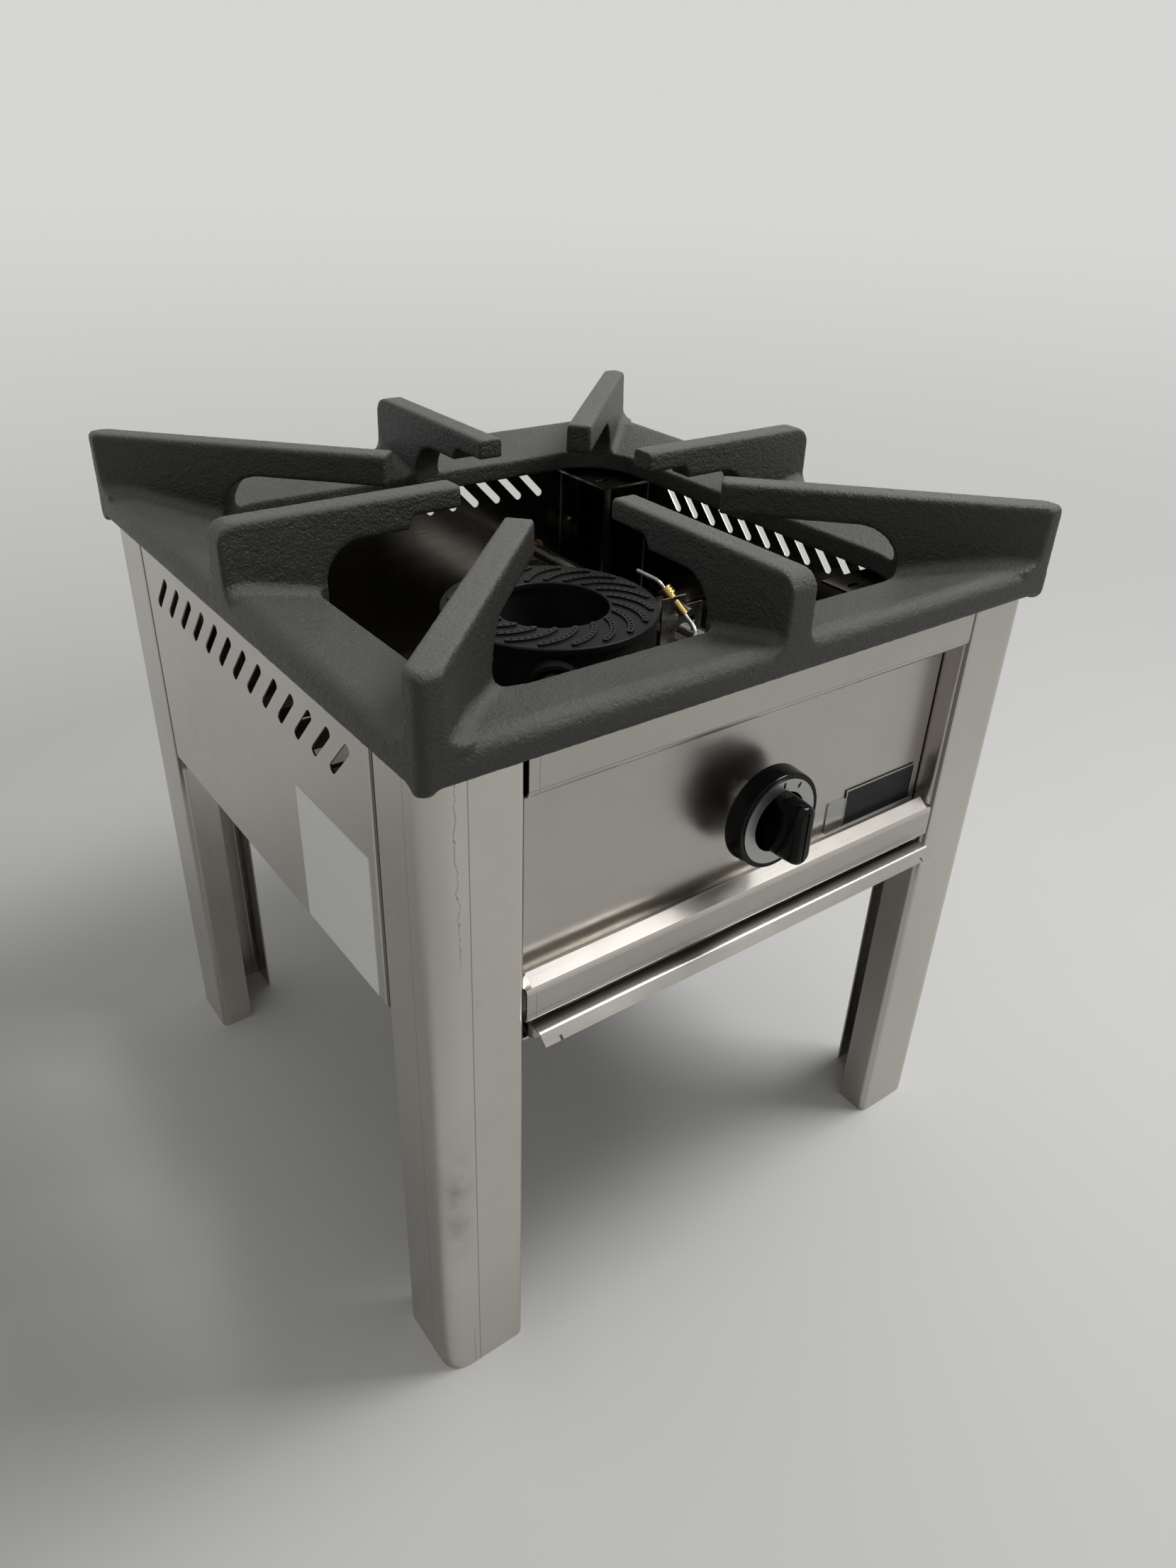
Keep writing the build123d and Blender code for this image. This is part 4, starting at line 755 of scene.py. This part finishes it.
def make_badge_rim():
    """Thin bright rim round the black plate."""
    low, high = badge_low, badge_high
    inner_low, inner_high = low.z + BADGE_RIM, high.z - BADGE_RIM
    bars = [
        ((low.x, low.z), (high.x, inner_low)),
        ((low.x, inner_high), (high.x, high.z)),
        ((low.x, inner_low), (low.x + BADGE_RIM, inner_high)),
        ((high.x - BADGE_RIM, inner_low), (high.x, inner_high)),
    ]
    shape = bmesh.new()
    for (left, bottom), (right, top) in bars:
        rings = []
        for offset, inset in BADGE_RIM_LAYERS:
            y = low.y + offset
            rings.append([(left + inset, y, bottom + inset), (right - inset, y, bottom + inset),
                          (right - inset, y, top - inset), (left + inset, y, top - inset)])
        bridge(shape, rings)
    mesh = mesh_of("badge_rim", shape)
    add_piece("badge_rim", mesh, finish_of("badge_tab"), "frame")


def make_ledge_trim():
    """Sloping lip along the lower rail's ledge, mitred down at both ends."""
    ends = ((rail_low.x, TRIM_END_RISE), (rail_low.x + TRIM_MITRE, 1.0),
            (rail_high.x - TRIM_MITRE, 1.0), (rail_high.x, TRIM_END_RISE))
    rings = []
    for x, rise in ends:
        ring = []
        for behind, height in TRIM_SECTION:
            lift = rise * height if height > 0 else height
            ring.append((x, rail_low.y + behind, rail_high.z + lift))
        rings.append(ring)
    shape = bmesh.new()
    bridge(shape, rings)
    mesh = mesh_of("ledge_trim", shape, TRIM_SHARP)
    add_piece("ledge_trim", mesh, sheet_steel("steel_ledge", GRAIN_X), "frame")


def make_casting():
    """The pan support with softened edges and an uneven sand-cast surface."""
    mesh = nodes["pan_support"].data.copy()
    piece = add_piece("pan_casting", mesh, finish_of("pan_support"), "pan_support")
    remesh = piece.modifiers.new("remesh", "REMESH")
    remesh.mode = "VOXEL"
    remesh.voxel_size = CAST_VOXEL
    remesh.use_smooth_shade = True
    smooth = piece.modifiers.new("smooth", "SMOOTH")
    smooth.factor = CAST_SMOOTH_FACTOR
    smooth.iterations = CAST_SMOOTHING
    relief = bpy.data.textures.new("cast_relief", "CLOUDS")
    relief.noise_scale = CAST_GRAIN
    relief.noise_depth = CAST_GRAIN_DEPTH
    displace = piece.modifiers.new("relief", "DISPLACE")
    displace.texture = relief
    displace.texture_coords = "LOCAL"
    displace.strength = CAST_RELIEF
    displace.mid_level = 1.0
    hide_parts("pan_support")


def make_camera():
    """Camera at the photograph's place, angle and focal length."""
    yaw, pitch = CAMERA_YAW, CAMERA_PITCH
    ahead = Vector((math.sin(yaw) * math.cos(pitch), math.cos(yaw) * math.cos(pitch),
                    math.sin(pitch)))
    level = Vector((math.cos(yaw), -math.sin(yaw), 0.0))
    rise = level.cross(ahead)
    right = math.cos(CAMERA_ROLL) * level + math.sin(CAMERA_ROLL) * rise
    up = math.cos(CAMERA_ROLL) * rise - math.sin(CAMERA_ROLL) * level
    data = bpy.data.cameras.new("photo_camera")
    data.sensor_fit = "HORIZONTAL"
    data.sensor_width = SENSOR_WIDTH
    data.lens = CAMERA_FOCUS_PIXELS * SENSOR_WIDTH / IMAGE_WIDTH
    data.clip_start = NEAREST_SEEN
    camera = bpy.data.objects.new("photo_camera", data)
    turn = Matrix((right, up, -ahead)).transposed().to_4x4()
    camera.matrix_world = Matrix.Translation(CAMERA_PLACE) @ turn
    bpy.context.scene.collection.objects.link(camera)
    bpy.context.scene.camera = camera


def make_floor():
    """Pale floor that turns into the backdrop's colour far from the object."""
    mesh = bpy.data.meshes.new("floor")
    corners = [(-FLOOR_HALF, -FLOOR_HALF, 0), (FLOOR_HALF, -FLOOR_HALF, 0),
               (FLOOR_HALF, FLOOR_HALF, 0), (-FLOOR_HALF, FLOOR_HALF, 0)]
    mesh.from_pydata(corners, [], [(0, 1, 2, 3)])
    floor = bpy.data.objects.new("floor", mesh)
    bpy.context.scene.collection.objects.link(floor)
    finish = Finish("floor", FLOOR_COLOR, 0.0, FLOOR_ROUGHNESS, FLOOR_SPECULAR)
    clouds = finish.noise(*FLOOR_CLOUDS)
    color = finish.blend(clouds, tinted(FLOOR_COLOR, FLOOR_SHADE), FLOOR_COLOR)
    finish.drive("Base Color", color)
    nearness = finish.math("DIVIDE", 1.0, finish.vector("LENGTH", finish.place))
    away = finish.span(nearness, 1 / FLOOR_REACH, 1 / FLOOR_NEAR, 1, 0)
    glow = finish.add("ShaderNodeEmission")
    glow.inputs["Color"].default_value = (*BACKDROP_COLOR, 1.0)
    mix = finish.add("ShaderNodeMixShader")
    finish.join(away, mix.inputs["Fac"])
    finish.join(finish.shader.outputs["BSDF"], mix.inputs[1])
    finish.join(glow.outputs["Emission"], mix.inputs[2])
    finish.join(mix.outputs["Shader"], finish.tree.nodes["Material Output"].inputs["Surface"])
    mesh.materials.append(finish.material)


def make_world():
    """Soft light, brighter from above, behind a pale backdrop."""
    world = bpy.data.worlds.new("studio")
    bpy.context.scene.world = world
    world.use_nodes = True
    tree = world.node_tree
    join = tree.links.new
    sky = tree.nodes["Background"]
    sky.inputs["Color"].default_value = (*SKY_COLOR, 1.0)
    place = tree.nodes.new("ShaderNodeTexCoord")
    split = tree.nodes.new("ShaderNodeSeparateXYZ")
    join(place.outputs["Generated"], split.inputs["Vector"])
    level = tree.nodes.new("ShaderNodeMapRange")
    level.interpolation_type = "SMOOTHSTEP"
    sockets = ("From Min", "From Max", "To Min", "To Max")
    for socket, number in zip(sockets, (0.0, CEILING_FROM, HORIZON_LIGHT, CEILING_LIGHT)):
        level.inputs[socket].default_value = number
    join(split.outputs["Z"], level.inputs["Value"])
    join(level.outputs["Result"], sky.inputs["Strength"])
    backdrop = tree.nodes.new("ShaderNodeBackground")
    backdrop.inputs["Color"].default_value = (*BACKDROP_COLOR, 1.0)
    path = tree.nodes.new("ShaderNodeLightPath")
    seen = path.outputs["Is Camera Ray"]
    for kind in ("Is Glossy Ray", "Is Transmission Ray"):
        either = tree.nodes.new("ShaderNodeMath")
        either.operation = "MAXIMUM"
        join(seen, either.inputs[0])
        join(path.outputs[kind], either.inputs[1])
        seen = either.outputs["Value"]
    mix = tree.nodes.new("ShaderNodeMixShader")
    join(seen, mix.inputs["Fac"])
    join(sky.outputs["Background"], mix.inputs[1])
    join(backdrop.outputs["Background"], mix.inputs[2])
    join(mix.outputs["Shader"], tree.nodes["World Output"].inputs["Surface"])


def make_lamp():
    """Square soft box overhead, to the right of the object."""
    data = bpy.data.lights.new("ceiling_lamp", "AREA")
    data.shape = "SQUARE"
    data.size = LAMP_SIZE
    data.energy = LAMP_POWER
    lamp = bpy.data.objects.new("ceiling_lamp", data)
    lamp.location = LAMP_PLACE
    ahead = Vector(LAMP_TARGET) - Vector(LAMP_PLACE)
    lamp.rotation_euler = ahead.to_track_quat("-Z", "Y").to_euler()
    bpy.context.scene.collection.objects.link(lamp)


dress_sheets()
dress_others()
make_casting()
make_knob()
make_dial_marks()
make_badge_rim()
make_ledge_trim()
make_camera()
make_floor()
make_world()
make_lamp()
bpy.context.scene.view_settings.view_transform = "Standard"
